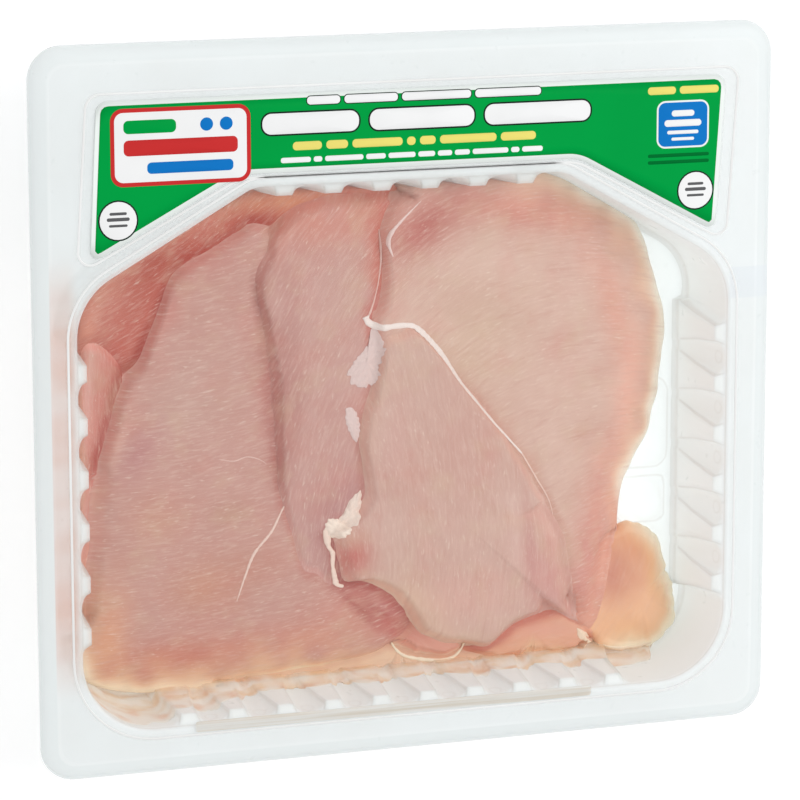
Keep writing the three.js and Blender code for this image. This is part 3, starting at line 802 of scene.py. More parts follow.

# Each slice, lowest first: middle, points round its top edge, its fibre curve (turn of the
# fibres in degrees, bend per mm about a point), flesh tone, rim tints (middle angle, half
# width of the angle in degrees, width in mm, tone, strength), soft marks (x, y, length,
# width, turn, tone, strength), painted shade that its rim throws on the meat below, like the
# rim tints, and stretches where its rim thins out (middle angle, half width, width in mm).
# The rim tints are partly the pale edge of the meat and partly painted light: pale bands paint
# the glow of light through thin rims and lighten them against their shade, dark bands paint
# shade on shoulders turned from the light.
slices = {
    "sliceBase": {
        "node": "slice_base", "slot": "meat_fat", "seed": 11, "ragged": 3.2,
        "middle": (4, -90, 6.4),
        "edge": [(-60, -97.6, 5.5), (-45, -98, 6), (-24, -98, 6), (4, -98, 6), (29, -98, 6), (54, -98, 6),
                 (67, -97.4, 5.5), (68, -90, 6), (54, -84, 6), (29, -82, 6), (4, -81, 6), (-24, -82, 6),
                 (-45, -84, 6), (-60, -88, 5.5)],
        "fibre": (4, 0.0), "flesh": (236, 202, 172), "wave": 0.25,
        "rims": [(0, 180, 2.5, (244, 226, 204), 0.7)],
        "marks": [(20, -96, 10, 3, 0, (228, 170, 138), 0.6), (-40, -94, 18, 3, 0, (242, 212, 178), 0.5),
                  (44, -97, 6, 2, 0, (224, 166, 138), 0.5), (0, -97, 5, 2, 10, (226, 172, 144), 0.5)],
    },
    "sliceCorner": {
        "node": "slice_corner", "slot": "meat_fat", "seed": 12,
        "middle": (88, -78, 11),
        "edge": [(83, -56, 5.6), (87, -54.6, 5), (92.3, -56, 5), (97.6, -60, 5), (100.2, -67, 5),
                 (102.6, -75.7, 5), (104.6, -84.7, 5), (103.4, -92, 5), (99.6, -96.4, 5),
                 (92.6, -98.8, 5.5), (83.6, -99, 6), (77, -96.4, 7), (71, -92, 9), (64, -84, 10.4),
                 (62, -72, 8), (67, -62, 5.5), (76, -58, 5)],
        "fibre": (60, 0.004), "flesh": (246, 192, 152), "wave": 0.4,
        # pale bands: the lobe's own pale edge with a painted glow of light through its thin rim
        "rims": [(-15, 118, 8, (248, 202, 154), 0.8), (-15, 112, 3.6, (255, 246, 220), 0.95)],
        "marks": [(87.5, -62, 7, 4, -60, (228, 154, 108), 0.8), (79, -71, 10, 8, 80, (204, 132, 114), 0.9),
                  (87, -72, 8, 9, 80, (218, 152, 122), 0.6), (90, -90, 12, 4, -8, (240, 182, 138), 0.7),
                  (95, -74, 10, 3, 100, (236, 172, 120), 0.7), (96, -84, 9, 6, 80, (250, 198, 158), 0.6)],
    },
    "sliceBackLeft": {
        "node": "slice_back_left", "slot": "meat_deep", "seed": 13,
        "middle": (-60, 45, 13.5),
        "edge": [(0, 67, 15.5), (-16, 67, 16), (-33, 67, 16.5), (-50, 66.5, 16.5), (-65, 60, 17),
                 (-83, 51, 17), (-96, 43, 17), (-104, 35, 17), (-107, 26, 17), (-105, 10, 14),
                 (-102, 0, 12.5), (-90, 5, 12), (-70, 24, 12), (-40, 37, 12), (0, 50, 13)],
        "fibre": (35, 0.002), "flesh": (202, 124, 108), "wave": 0.5,
        "rims": [(130, 80, 6, (218, 150, 126), 0.5)],
        "marks": [(-75, 46, 22, 8, 35, (170, 66, 48), 0.8), (-42, 63, 16, 4, 4, (230, 160, 122), 0.9),
                  (-96, 14, 12, 5, 60, (190, 88, 72), 0.7), (-70, 40, 26, 4, 35, (182, 82, 66), 0.6),
                  (-64, 52, 14, 4, 30, (190, 104, 88), 0.6), (-98, 34, 9, 5, 40, (204, 132, 114), 0.6),
                  (-104, 22, 9, 3, 80, (228, 160, 134), 0.7)],
    },
    "stripLeft": {
        "node": "strip_left", "slot": "meat_deep", "seed": 14,
        "middle": (-98, -20, 13.5),
        "edge": [(-101, 22, 17), (-106, 20, 17), (-107, 0, 16.5), (-107, -30, 15), (-107, -58, 12.5),
                 (-104, -70, 10.5), (-98, -62, 10.5), (-92, -40, 11.5), (-88, -15, 12.5), (-89, 5, 13),
                 (-94, 16, 14.5)],
        "fibre": (88, 0.001), "flesh": (216, 148, 134), "wave": 0.4,
        "rims": [(180, 90, 2.5, (230, 166, 140), 0.7)],
        "marks": [(-104, -60, 12, 3, 85, (228, 150, 114), 0.8),
                  (-103.5, 6, 20, 1.4, 86, (232, 184, 172), 0.6),
                  (-101, -16, 16, 1.2, 82, (198, 104, 92), 0.5),
                  (-105.5, -20, 30, 1.2, 90, (222, 166, 150), 0.6)],
        "thrownShade": [(60, 60, 2.2, (182, 92, 78), 0.5)],
    },
    "sliceUnder": {
        "node": "slice_under", "slot": "meat_fat", "seed": 15,
        "middle": (7, -81, 12),
        "edge": [(0, -68, 11.5), (-12, -71, 11), (-16, -80, 9), (-6, -88, 9), (1, -90, 10.5),
                 (8, -93, 10.5), (17, -95, 10.5), (23, -95, 10.5), (27, -91, 10.5), (27, -82, 11),
                 (20, -72, 11.5), (10, -69, 11.5)],
        "fibre": (-30, 0.0), "flesh": (228, 164, 144), "wave": 0.3,
        "rims": [(-80, 70, 1.6, (246, 230, 204), 0.95)],
        "marks": [(2, -80, 12, 6, -30, (206, 126, 112), 0.8)],
        "thrownShade": [(-80, 70, 1.4, (214, 152, 126), 0.5)],
    },
    "pieceFront": {
        "node": "piece_front", "slot": "meat_fat", "seed": 16, "ragged": 1.6,
        "middle": (50, -88, 10.7),
        "edge": [(28, -89, 9.5), (26, -94, 9), (39, -98, 9), (53, -98, 8.8), (66, -97.5, 9), (71.5, -95, 9),
                 (73, -90, 9.6), (68, -82, 10), (58, -77, 10), (46, -77, 10), (34, -82, 9.8)],
        "fibre": (15, 0.0), "flesh": (228, 166, 138), "wave": 0.3,
        # pale bands: its own pale edge, lightened as painted light against the shade of its lower rim
        "rims": [(-85, 75, 4.2, (242, 208, 164), 0.85), (-85, 70, 1.8, (250, 232, 204), 0.8)],
        "marks": [(52, -93, 14, 3, 8, (236, 178, 144), 0.6), (56, -88, 12, 3, -10, (228, 166, 146), 0.6)],
    },
    "sliceLeft": {
        "node": "slice_left", "slot": "meat", "seed": 21,
        "middle": (-65, -30, 18.5),
        "edge": [(-46, 57, 17), (-53, 55, 17), (-63, 50, 17), (-75, 43, 17), (-80, 31, 17), (-86, 17, 17),
                 (-92, 9, 17), (-96, 0, 17), (-99, -11, 17), (-102.4, -21, 16.8), (-104.6, -30, 16.4),
                 (-105.6, -42, 15.8), (-106, -56, 14.8), (-106.6, -68, 14), (-107, -78, 13),
                 (-107, -87, 12), (-102, -94, 11), (-89, -97, 10), (-68, -99, 9), (-60, -99, 9),
                 (-46, -97, 10), (-22, -95, 11), (-7, -93, 12), (1, -89, 13), (8, -78, 13), (0, -55, 13.5),
                 (-14, -30, 14), (-24, 0, 14), (-27, 25, 14), (-28, 48, 15)],
        "fibre": (8, 0.0012), "flesh": (201, 153, 141), "wave": 0.5,
        "feathers": [(200, 36, 9)],
        # the first three bands: the pale lower edge with a painted glow of light through the thin rim
        "rims": [(-96, 56, 11, (226, 168, 134), 0.75), (-92, 50, 6, (244, 206, 166), 0.9),
                 (-90, 46, 3.0, (254, 238, 210), 0.95), (118, 45, 4, (208, 142, 130), 0.6),
                 (200, 36, 7, (212, 150, 134), 0.6)],
        "marks": [(-74, -86, 28, 7, 3, (202, 119, 100), 0.8), (-32, -83, 24, 8, 5, (210, 142, 124), 0.75),
                  (-10, -76, 16, 9, -20, (214, 144, 128), 0.8),
                  (-99, -78, 16, 7, 80, (228, 164, 130), 0.85),
                  # painted highlight: a thin pale band near this slice's left edge
                  (-94.5, -12, 10, 2.4, 68, (220, 172, 156), 0.75),
                  (-87, -14, 11, 5, 62, (188, 126, 126), 0.65), (-70, 2, 18, 12, 30, (202, 165, 152), 0.6),
                  (-57.8, -37, 7, 5, 10, (188, 138, 120), 0.65), (-82, -38, 10, 8, 0, (206, 146, 124), 0.5),
                  (-79, 28, 16, 4, 62, (206, 140, 128), 0.55), (-50, -56, 14, 9, 10, (196, 142, 124), 0.5),
                  (-66, -62, 12, 9, 0, (204, 145, 120), 0.7), (-8, -74, 11, 6, -48, (184, 112, 103), 0.85),
                  (-13.5, -73.5, 9, 1.3, -46, (166, 74, 66), 0.8),
                  (-6, -71.5, 6, 2, -46, (208, 158, 148), 0.7),
                  (-3, -77.5, 9, 1.2, -38, (172, 90, 82), 0.7),
                  (-1, -76, 5, 1.6, -40, (206, 152, 142), 0.6), (0, -82, 7, 3, -42, (184, 84, 76), 0.8),
                  (-78, 36, 16, 6, 62, (196, 132, 122), 0.6), (-60, 46, 14, 5, 25, (200, 134, 124), 0.5)],
        "thrownShade": [(104, 36, 2.4, (150, 44, 34), 0.85), (104, 38, 8, (190, 92, 76), 0.55),
                   (140, 32, 2.2, (164, 66, 54), 0.65), (-60, 40, 1.4, (220, 168, 138), 0.4)],
    },
    "sliceMiddle": {
        "node": "slice_middle", "slot": "meat", "seed": 22,
        "middle": (-22, 5, 21.5),
        "edge": [(-2, 66.5, 19), (-10, 66, 19), (-20, 65.5, 19.5), (-30, 64, 19.5), (-37, 61, 19.5),
                 (-43, 56, 20), (-45, 49, 20), (-49, 39, 20.5), (-47, 26, 20.5), (-44, 0, 20.5),
                 (-42, -27, 20), (-40, -37, 19.5), (-37, -48, 18.5), (-33, -60, 17.5), (-28, -62, 17),
                 (-23, -66, 16.5), (-12, -62, 15.5), (-4, -50, 16.5), (2, -30, 18), (6, 0, 18),
                 (10, 30, 18), (12, 55, 18)],
        "fibre": (66, -0.003), "flesh": (203, 157, 147), "wave": 0.4,
        # the first band is painted shade on the left shoulder, turned from the light
        "rims": [(180, 72, 8, (178, 116, 106), 0.8), (75, 45, 10, (212, 138, 120), 0.75)],
        "marks": [(-18, 56, 22, 8, 10, (210, 140, 124), 0.7), (-38, 10, 40, 4, 88, (184, 128, 120), 0.5),
                  (-20, -40, 18, 10, 60, (182, 130, 128), 0.7), (-20, 30, 26, 8, 66, (206, 164, 150), 0.5)],
        "thrownShade": [(186, 66, 2.4, (166, 104, 96), 0.6), (186, 60, 6, (190, 124, 114), 0.4),
                   (-112, 22, 1.3, (190, 118, 106), 0.5)],
    },
    "sliceRight": {
        "node": "slice_right", "slot": "meat", "seed": 23,
        "middle": (42, -5, 19.5),
        "edge": [(14, 67, 20), (1, 66, 22.5), (-4, 62, 23.5), (-8, 52, 24), (-7, 41, 24), (-9, 29, 24),
                 (-11, 25, 24), (-8, 5, 22), (-2, -15, 21), (6, -32, 20), (16, -50, 17.5), (28, -64, 15),
                 (44, -74, 12.5), (58, -80, 11.5), (66, -86, 11.5), (72, -90, 12), (76, -80, 11),
                 (80, -66, 9.4), (82.4, -58, 6.6), (83.6, -51, 5.2), (84.6, -43.8, 5), (86.8, -37, 5),
                 (90, -30.5, 5.2), (94.4, -21.8, 5), (97.2, -11.6, 5), (98.8, 0, 5), (99.8, 8.8, 5),
                 (99.4, 18, 5.3), (96.6, 27.7, 6), (92.8, 37, 7.5), (89, 46, 9), (83.5, 53, 11),
                 (75, 58.5, 13), (63, 64, 15), (50, 67.5, 16.5), (35, 67.5, 18)],
        "fibre": (20, -0.006), "flesh": (216, 179, 163), "wave": 0.5,
        "feathers": [(-62, 22, 15)],
        # the first three bands: the pale right edge with a painted glow of light through the thin rim
        "rims": [(20, 84, 13, (234, 174, 152), 0.65), (18, 78, 6.0, (250, 210, 172), 0.8),
                 (16, 72, 3.4, (255, 250, 234), 0.95), (-64, 22, 12, (226, 160, 136), 0.85),
                 (140, 20, 4, (208, 142, 128), 0.6)],
        "marks": [(46, 57, 34, 7, -8, (204, 118, 102), 0.75), (7, 53, 18, 9, 30, (184, 100, 90), 0.9),
                  (24, 14, 22, 16, 40, (209, 176, 152), 0.65), (77, 22, 26, 6, -72, (222, 158, 140), 0.7),
                  (84, -8, 20, 6, 86, (242, 180, 160), 0.6), (78, -30, 14, 6, 58, (222, 160, 142), 0.5),
                  (70, -60, 26, 9, 78, (214, 142, 130), 0.85), (60, -78, 14, 8, 0, (210, 136, 124), 0.8),
                  (30, 48, 10, 4, 60, (212, 178, 158), 0.5)],
        "thrownShade": [(140, 24, 2.4, (188, 96, 82), 0.75), (128, 16, 9, (206, 122, 104), 0.6)],
    },
    "sliceFront": {
        "node": "slice_front", "slot": "meat", "seed": 24,
        "middle": (20, -45, 24),
        "edge": [(3, 22, 25.5), (-2, 20.5, 25.5), (-7, 19, 25), (-9, 10, 25), (-11, 4, 24.8),
                 (-15, -11, 24.3), (-14, -25, 23.6), (-13, -32, 23), (-14, -36, 22.6), (-19, -43, 22),
                 (-25, -46, 21.5), (-24, -49, 21.5), (-22, -56, 21.2), (-19, -64, 20.5), (-12, -65, 20.5),
                 (-1, -72, 19), (7, -83, 18), (16, -89, 17), (23, -91, 16.5), (32, -93, 16), (37, -91, 16),
                 (45, -85, 16), (57, -82, 15), (63, -85, 14.4), (66.5, -86, 14.2), (65, -77, 15.4),
                 (63, -67, 16.6), (60.5, -57, 18), (54.5, -44, 20), (49, -35, 21.3), (44, -27, 22),
                 (38, -18, 23), (34, -12, 23.5), (22, 2, 24.5), (9, 17, 25.5)],
        "fibre": (94, 0.0016), "flesh": (210, 172, 158), "wave": 0.4,
        "feathers": [(-21, 27, 15)],
        "rims": [(-112, 46, 6, (230, 196, 168), 0.7), (90, 60, 5, (214, 172, 152), 0.5),
                 (-22, 30, 12, (215, 156, 142), 0.5)],
        "marks": [(-16.5, -54.5, 6, 8.5, 0, (198, 112, 102), 0.9),
                  (8, -72, 14, 6, -45, (218, 184, 160), 0.7), (52, -68, 18, 8, -62, (208, 148, 142), 0.7),
                  (22, -72, 22, 10, 0, (222, 170, 156), 0.55), (20, -20, 26, 14, 90, (204, 156, 143), 0.65),
                  (-4, -20, 20, 5, 80, (208, 158, 148), 0.5), (54, -52, 13, 2.2, -66, (224, 188, 172), 0.6),
                  (45, -56, 18, 2, -83, (196, 136, 130), 0.5),
                  (39, -50, 16, 1.8, -86, (222, 186, 174), 0.45)],
        "thrownShade": [(150, 45, 1.8, (188, 122, 110), 0.5), (200, 24, 3.0, (158, 82, 74), 0.8),
                   (228, 24, 4.5, (178, 86, 78), 0.75), (30, 60, 1.6, (204, 148, 130), 0.5),
                   (-62, 24, 2.0, (190, 92, 78), 0.7)],
    },
}


# heights over a square grid, read between its points (linear in x and in y)
class HeightField:
    def __init__(self, start):
        self.step = meatRules["fieldStep"]
        self.low = np.array(meatRules["fieldLow"])
        xs, ys = (low + self.step * np.arange(size) for low, size in zip(self.low, meatRules["fieldSize"]))
        self.x, self.y = np.meshgrid(xs, ys, indexing="ij")
        self.z = np.full(self.x.shape, float(start))

    def corners(self, x, y):
        fx = np.clip((x - self.low[0]) / self.step, 0, self.z.shape[0] - 1.001)
        fy = np.clip((y - self.low[1]) / self.step, 0, self.z.shape[1] - 1.001)
        i, j = fx.astype(int), fy.astype(int)
        return i, j, fx - i, fy - j

    def read(self, heights, x, y):
        return between(heights, *self.corners(x, y))

    def highest(self, x, y):
        i, j, _, _ = self.corners(x, y)
        return np.max([self.z[i + a, j + b] for a in (0, 1) for b in (0, 1)], axis=0)


# running mean over a few grid steps in both directions, three times over
def softened(heights, reach):
    result = heights
    width = 2 * reach + 1
    for axis in (0, 1) * 3:
        padded = np.pad(result, [(reach, reach) if k == axis else (0, 0) for k in (0, 1)], mode="edge")
        total = np.insert(np.cumsum(padded, axis=axis), 0, 0, axis=axis)
        size = result.shape[axis]
        late = np.take(total, np.arange(width, width + size), axis=axis)
        early = np.take(total, np.arange(size), axis=axis)
        result = (late - early) / width
    return result


# a slice's rim as tables over the angle round its middle: radius and height, the radius with
# fine waves, ragged * 0.9 / n * sin(n * angle + phase) for n from 7 to 45
def rimTables(plan):
    curve = closedCurve(plan["edge"], 1440)
    angle, radius = roundMiddle(curve, plan["middle"][:2])
    order = np.argsort(angle)
    angle, radius, height = angle[order], radius[order], curve[order, 2]
    draw = np.random.default_rng(plan["seed"])
    waves = np.arange(7, 46)
    phase = draw.uniform(0, fullTurn, len(waves))
    fine = plan.get("ragged", 1.0) * (0.9 / waves * np.sin(angle[:, None] * waves + phase)).sum(axis=1)
    return angle, radius + fine, height


# how far a point stands in from the nearest side of the pocket's mouth
def wallDistance(x, y):
    corners = np.array(tray["mouth"])[:, :2]
    along = unit(np.roll(corners, -1, axis=0) - corners)
    away = [(y - cy) * ax - (x - cx) * ay for (cx, cy), (ax, ay) in zip(corners, along)]
    return np.min(away, axis=0)


# the pocket's inner wall as a table: radius round the tray's middle over angle, per depth
def wallTable():
    columns = mouthColumns()
    turns = np.linspace(-np.pi, np.pi, meatRules["wallTurns"])
    rows = []
    for depth in tray["depths"]:
        angle, distance = roundMiddle(wallRow(columns, depth)[0], tray["centre"])
        order = np.argsort(angle)
        radius = np.interp(turns, angle[order], distance[order], period=fullTurn)
        rows.append(np.min([radius, np.roll(radius, 3), np.roll(radius, -3)], axis=0))
    return tray["flangeTop"] - np.array(tray["depths"]), np.array(rows)


# points held inside the pocket: radius = min(radius, wall at their angle and height - inset)
def heldInside(points, inset):
    heights, radii = pocketWall
    angle, distance = roundMiddle(points, tray["centre"])
    turn = (angle + np.pi) / fullTurn * (radii.shape[1] - 1)
    level = np.interp(points[:, 2], heights, np.arange(len(heights)))
    i = np.minimum(level.astype(int), len(heights) - 2)
    j = np.minimum(turn.astype(int), radii.shape[1] - 2)
    most = between(radii, i, j, level - i, turn - j) - meatRules["wallGap"] - inset
    share = np.minimum(1, most / np.maximum(distance, 1))
    return np.column_stack([fromMiddle(angle, distance * share, tray["centre"]), points[:, 2]])


# ripples of a slice: what each adds to the slice's own seed, and its wavelength
sliceWaves = {"waves": (100, 34), "fineWaves": (200, 9), "mottle": (300, 22), "specks": (400, 8),
              "rims": (500, 14), "thrownShade": (600, 14)}


def sliceRipple(plan, kind, x, y):
    shift, wavelength = sliceWaves[kind]
    return ripple(x, y, plan["seed"] + shift, wavelength)


# top of a slice: z = middle + (rim - middle) * rho^2, with slow ripples that die out at the
# rim; also how far out a point is from the rim, its angle, and the share of the shoulder
def domeHeight(plan, tables, x, y):
    cx, cy, cz = plan["middle"]
    angle = np.arctan2(y - cy, x - cx)
    distance = np.hypot(x - cx, y - cy)
    radius, height = (np.interp(angle, tables[0], table, period=fullTurn) for table in tables[1:])
    shoulder = radius - meatRules["round"]
    rho = np.clip(distance / shoulder, 0, 1)
    over = np.clip((distance - shoulder) / meatRules["round"], 0, 1)
    waves = plan["wave"] * (1 - rho ** 4) * sliceRipple(plan, "waves", x, y)
    fineWaves = meatRules["fineWave"] * (1 - rho ** 6) * sliceRipple(plan, "fineWaves", x, y)
    return cz + (height - cz) * rho ** 2 + waves + fineWaves, distance - radius, angle, over


# colour of a slice at each point: flesh, slow mottling, soft elliptic marks, tinted rims that are partly
# painted glow and painted shade
def fleshColour(plan, x, y, angle, inFromRim):
    mottle = 0.5 * sliceRipple(plan, "mottle", x, y) + 0.25 * sliceRipple(plan, "specks", x, y)
    colour = tone(*plan["flesh"]) * (1 + mottle[:, None] * meatRules["mottle"])
    for markX, markY, length, width, turn, mark, strength in plan["marks"]:
        along, across = placeAlong(x, y, (markX, markY), turn)
        weight = strength * np.exp(-(along / length) ** 2 - (across / width) ** 2)
        colour += (tone(*mark) - colour) * weight[:, None]
    return rimTinted(colour, plan, "rims", x, y, angle, inFromRim)


# bands of tint beside a rim, for the rim tints and for the painted shade thrown on the meat below: strength *
# exp(-(gap / width)^2) within an angle, the width uneven
def rimTinted(colour, plan, kind, x, y, angle, gap):
    uneven = 1 + 0.35 * sliceRipple(plan, kind, x, y)
    for middle, half, width, band, strength in plan.get(kind, ()):
        within = facing(angle, middle, half, 0.7, 1.05) if half < 180 else 1.0
        weight = strength * within * np.exp(-(np.maximum(gap, 0) / (width * uneven)) ** 2)
        colour = colour + (tone(*band) - colour) * weight[:, None]
    return np.clip(colour, 0, 1)


# fibre coordinates: u runs along the fibres, v = across - bend * along^2
def fibreUv(plan, x, y):
    turn, bend = plan["fibre"]
    along, across = placeAlong(x, y, plan["middle"], turn)
    return np.column_stack([along, across - bend * along ** 2]) * meatRules["uvScale"]


meatLook = {
    "fibrePale": tone(234, 206, 190),
    "fleckPale": tone(244, 226, 210),
    "shade": tone(190, 128, 116),
    "blush": tone(206, 132, 120),
    "beige": tone(212, 182, 154),
    "roughness": (0.4, 0.6),
    # stretch of the two kinds of fleck along and across the fibres
    "flecks": [(30, 150, 1), (46, 190, 1)],
}


# moist raw meat: the tint of each point under slow blotches, faint fibre streaks and short
# pale flecks that run along the fibres
def meatMaterial(name, streaks, flecks, blotches):
    material, tree, shader = newMaterial(name)
    colour = attributeOf(tree, "tint", "Color")
    fibres = addNode(tree, "ShaderNodeUVMap", uv_map="fibres").outputs["UV"]
    place = objectPlace(tree)
    blush = noiseOn(tree, place, 60.0, 2.0)
    dull = noiseOn(tree, place, 95.0, 2.0, move=(4, 1, 2))
    streak = noiseOn(tree, fibres, 1.0, 2.0, 0.6, (15, 105, 1), wobble=0.5)
    shade = noiseOn(tree, fibres, 1.0, 2.0, 0.6, (9, 55, 1), (3, 7, 1), 0.4)
    # each layer: its noise, where that starts and ends, how much of the tone it brings
    layers = {"blush": (blush, 0.5, 0.75, blotches), "beige": (dull, 0.52, 0.75, blotches),
              "fibrePale": (streak, 0.48, 0.8, streaks), "shade": (shade, 0.52, 0.85, streaks)}
    for over, (noise, low, high, strength) in layers.items():
        colour = mixColours(tree, spread(tree, noise, low, high, 0.0, strength), colour, meatLook[over])
    # the two kinds of fleck lie in different patches
    patch = noiseOn(tree, place, 45.0, 2.0)
    for number, (stretch, ends) in enumerate(zip(meatLook["flecks"], ((0.42, 0.62), (0.62, 0.42)))):
        fleck = noiseOn(tree, fibres, 1.0, 1.5, 0.5, stretch, (5 + number, 2, 4), 0.7)
        amount = insideOf(tree, [(fleck, (0.62, 0.74, 0.0, flecks)), (patch, ends)])
        colour = mixColours(tree, amount, colour, meatLook["fleckPale"])
    join(tree, colour, shader.inputs["Base Color"])
    rough = spread(tree, dull, 0.3, 0.7, *meatLook["roughness"])
    join(tree, rough, shader.inputs["Roughness"])
    setInputs(shader, {"Specular IOR Level": 0.3})
    bumpFrom(tree, shader, streak, 0.2, 0.25)
    return material


fleshMaterial = meatMaterial("moistFlesh", 0.3, 0.36, 0.3)
fatMaterial = meatMaterial("moistFatEdge", 0.15, 0.1, 0.08)

stack = HeightField(meatRules["floor"])
pocketWall = wallTable()


# a slice as rows round its middle: over the dome, down its rounded shoulder to what lies
# below, and back to the middle underneath; its top never dips into the others
def makeSlice(name, plan, above):
    tables = rimTables(plan)
    middle = np.array(plan["middle"][:2])
    around = meatRules["around"]
    angle = np.arange(around) * fullTurn / around - np.pi
    radius = np.interp(angle, tables[0], tables[1], period=fullTurn)
    shoulder = radius - meatRules["round"]
    soft = softened(stack.z, meatRules["softReach"])
    smooth = softened(stack.z, meatRules["smoothReach"])

    def topAt(x, y):
        z, out, direction, over = domeHeight(plan, tables, x, y)
        under = stack.highest(x, y)
        least = np.maximum(stack.read(soft, x, y), under) + meatRules["edge"]
        z = np.maximum(z, least + meatRules["thin"] * easedStep(0.0, meatRules["thinRun"], out))
        # over the bare tray the shoulder falls as a quarter ellipse, less far beside its wall
        meatLow, meatHigh = meatRules["meatFrom"]
        onMeat = easedStep(meatRules["floor"] + meatLow, meatRules["floor"] + meatHigh, under)
        free = easedStep(*meatRules["freeFrom"], wallDistance(x, y))
        most = meatRules["wallDrop"] + (meatRules["freeDrop"] - meatRules["wallDrop"]) * free
        drop = np.minimum(most, np.maximum(z - under - meatRules["edge"], 0)) * (1 - onMeat)
        z = z - drop * (1 - np.sqrt(1 - over ** 2))
        # over other meat the rim eases down onto it, and its very end dips into it
        width = np.full(np.shape(out), meatRules["soft"])
        for featherAngle, half, long in plan.get("feathers", ()):
            width = width + (long - width) * facing(direction, featherAngle, half, 0.75, 1.1)
        near = onMeat * easedStep(-width, meatRules["rimEnd"], out)
        z = z + (stack.read(smooth, x, y) - meatRules["dive"] - z) * near
        ending = onMeat * easedStep(meatRules["diveRun"], meatRules["rimEnd"], out)
        dip = (meatRules["feather"] + meatRules["dive"]) * ending
        z = np.maximum(z, under + meatRules["feather"] - dip)
        # weight of the painted light on a rim's slope, most halfway down it
        slope = 4 * near * (1 - near) * meatRules["soft"] / width
        return np.minimum(z, meatRules["roof"]), out, direction, slope

    spacing = np.linspace(0, 1, meatRules["topShares"] + 1)[1:] ** meatRules["shareBend"]
    rounding = np.sin(np.linspace(0, np.pi / 2, meatRules["shoulderSteps"] + 1))[1:]
    reach = [shoulder * s for s in spacing] + [shoulder + meatRules["round"] * s for s in rounding]
    rows = []
    for distance in reach:
        flat = fromMiddle(angle, distance, middle)
        rows.append(np.column_stack([flat, topAt(*flat.T)[0]]))
    rim = rows[-1]
    lowest = meatRules["floor"] + meatRules["gap"]
    foot = np.minimum(stack.highest(*rim[:, :2].T) + meatRules["gap"], rim[:, 2] - meatRules["body"])
    foot = np.minimum(np.maximum(foot, lowest), rim[:, 2] - meatRules["rowStep"])
    for share in (0.5, 1.0):
        rows.append(np.column_stack([rim[:, :2], rim[:, 2] + (foot - rim[:, 2]) * share]))
    for share in np.linspace(0.95, 0.05, meatRules["underSteps"]):
        flat = fromMiddle(angle, radius * share, middle)
        z = np.minimum(stack.highest(*flat.T) + meatRules["gap"], topAt(*flat.T)[0] - meatRules["body"])
        rows.append(np.column_stack([flat, np.maximum(z, lowest)]))
    grid = np.stack(rows)
    atMiddle = middle[:, None]
    poles = [[*middle, topAt(*atMiddle)[0][0]], [*middle, stack.highest(*atMiddle)[0] + meatRules["gap"]]]
    # rows that the wall pushes back keep a small step between them
    steps = np.concatenate([np.arange(len(reach))[::-1], [0, 0], np.arange(meatRules["underSteps"]) + 1])
    held = heldInside(grid.reshape(-1, 3), np.repeat(steps * meatRules["rowStep"], around))
    points = np.vstack([held, poles])
    material = fatMaterial if plan["slot"] == "meat_fat" else fleshMaterial
    piece = makePiece(name, points, rowFaces(*grid.shape[:2]), material, [plan["node"]])
    x, y = points[:, 0], points[:, 1]
    _, out, direction, slope = topAt(x, y)
    colour = fleshColour(plan, x, y, direction, -out)
    # painted light: the colour on rim slopes lifted against their shade
    colour = np.clip(colour * (1 + slope[:, None] * meatRules["paintedSlopeLight"]), 0, 1)
    # painted shade thrown by the rims of the slices above into the crevices beside them
    for upper in above:
        _, gap, towards, _ = domeHeight(upper, rimTables(upper), x, y)
        colour = rimTinted(colour, upper, "thrownShade", x, y, towards, gap)
    addTint(piece, colour, fibreUv(plan, x, y))
    fieldTop, fieldOut, _, _ = topAt(stack.x, stack.y)
    stack.z = np.where(fieldOut < meatRules["overlap"], np.maximum(stack.z, fieldTop), stack.z)
    return piece


plans = list(slices.values())
for number, (name, plan) in enumerate(slices.items()):
    made = makeSlice(name, plan, plans[number + 1:])
    print("slice made:", name, len(made.data.polygons), "faces")

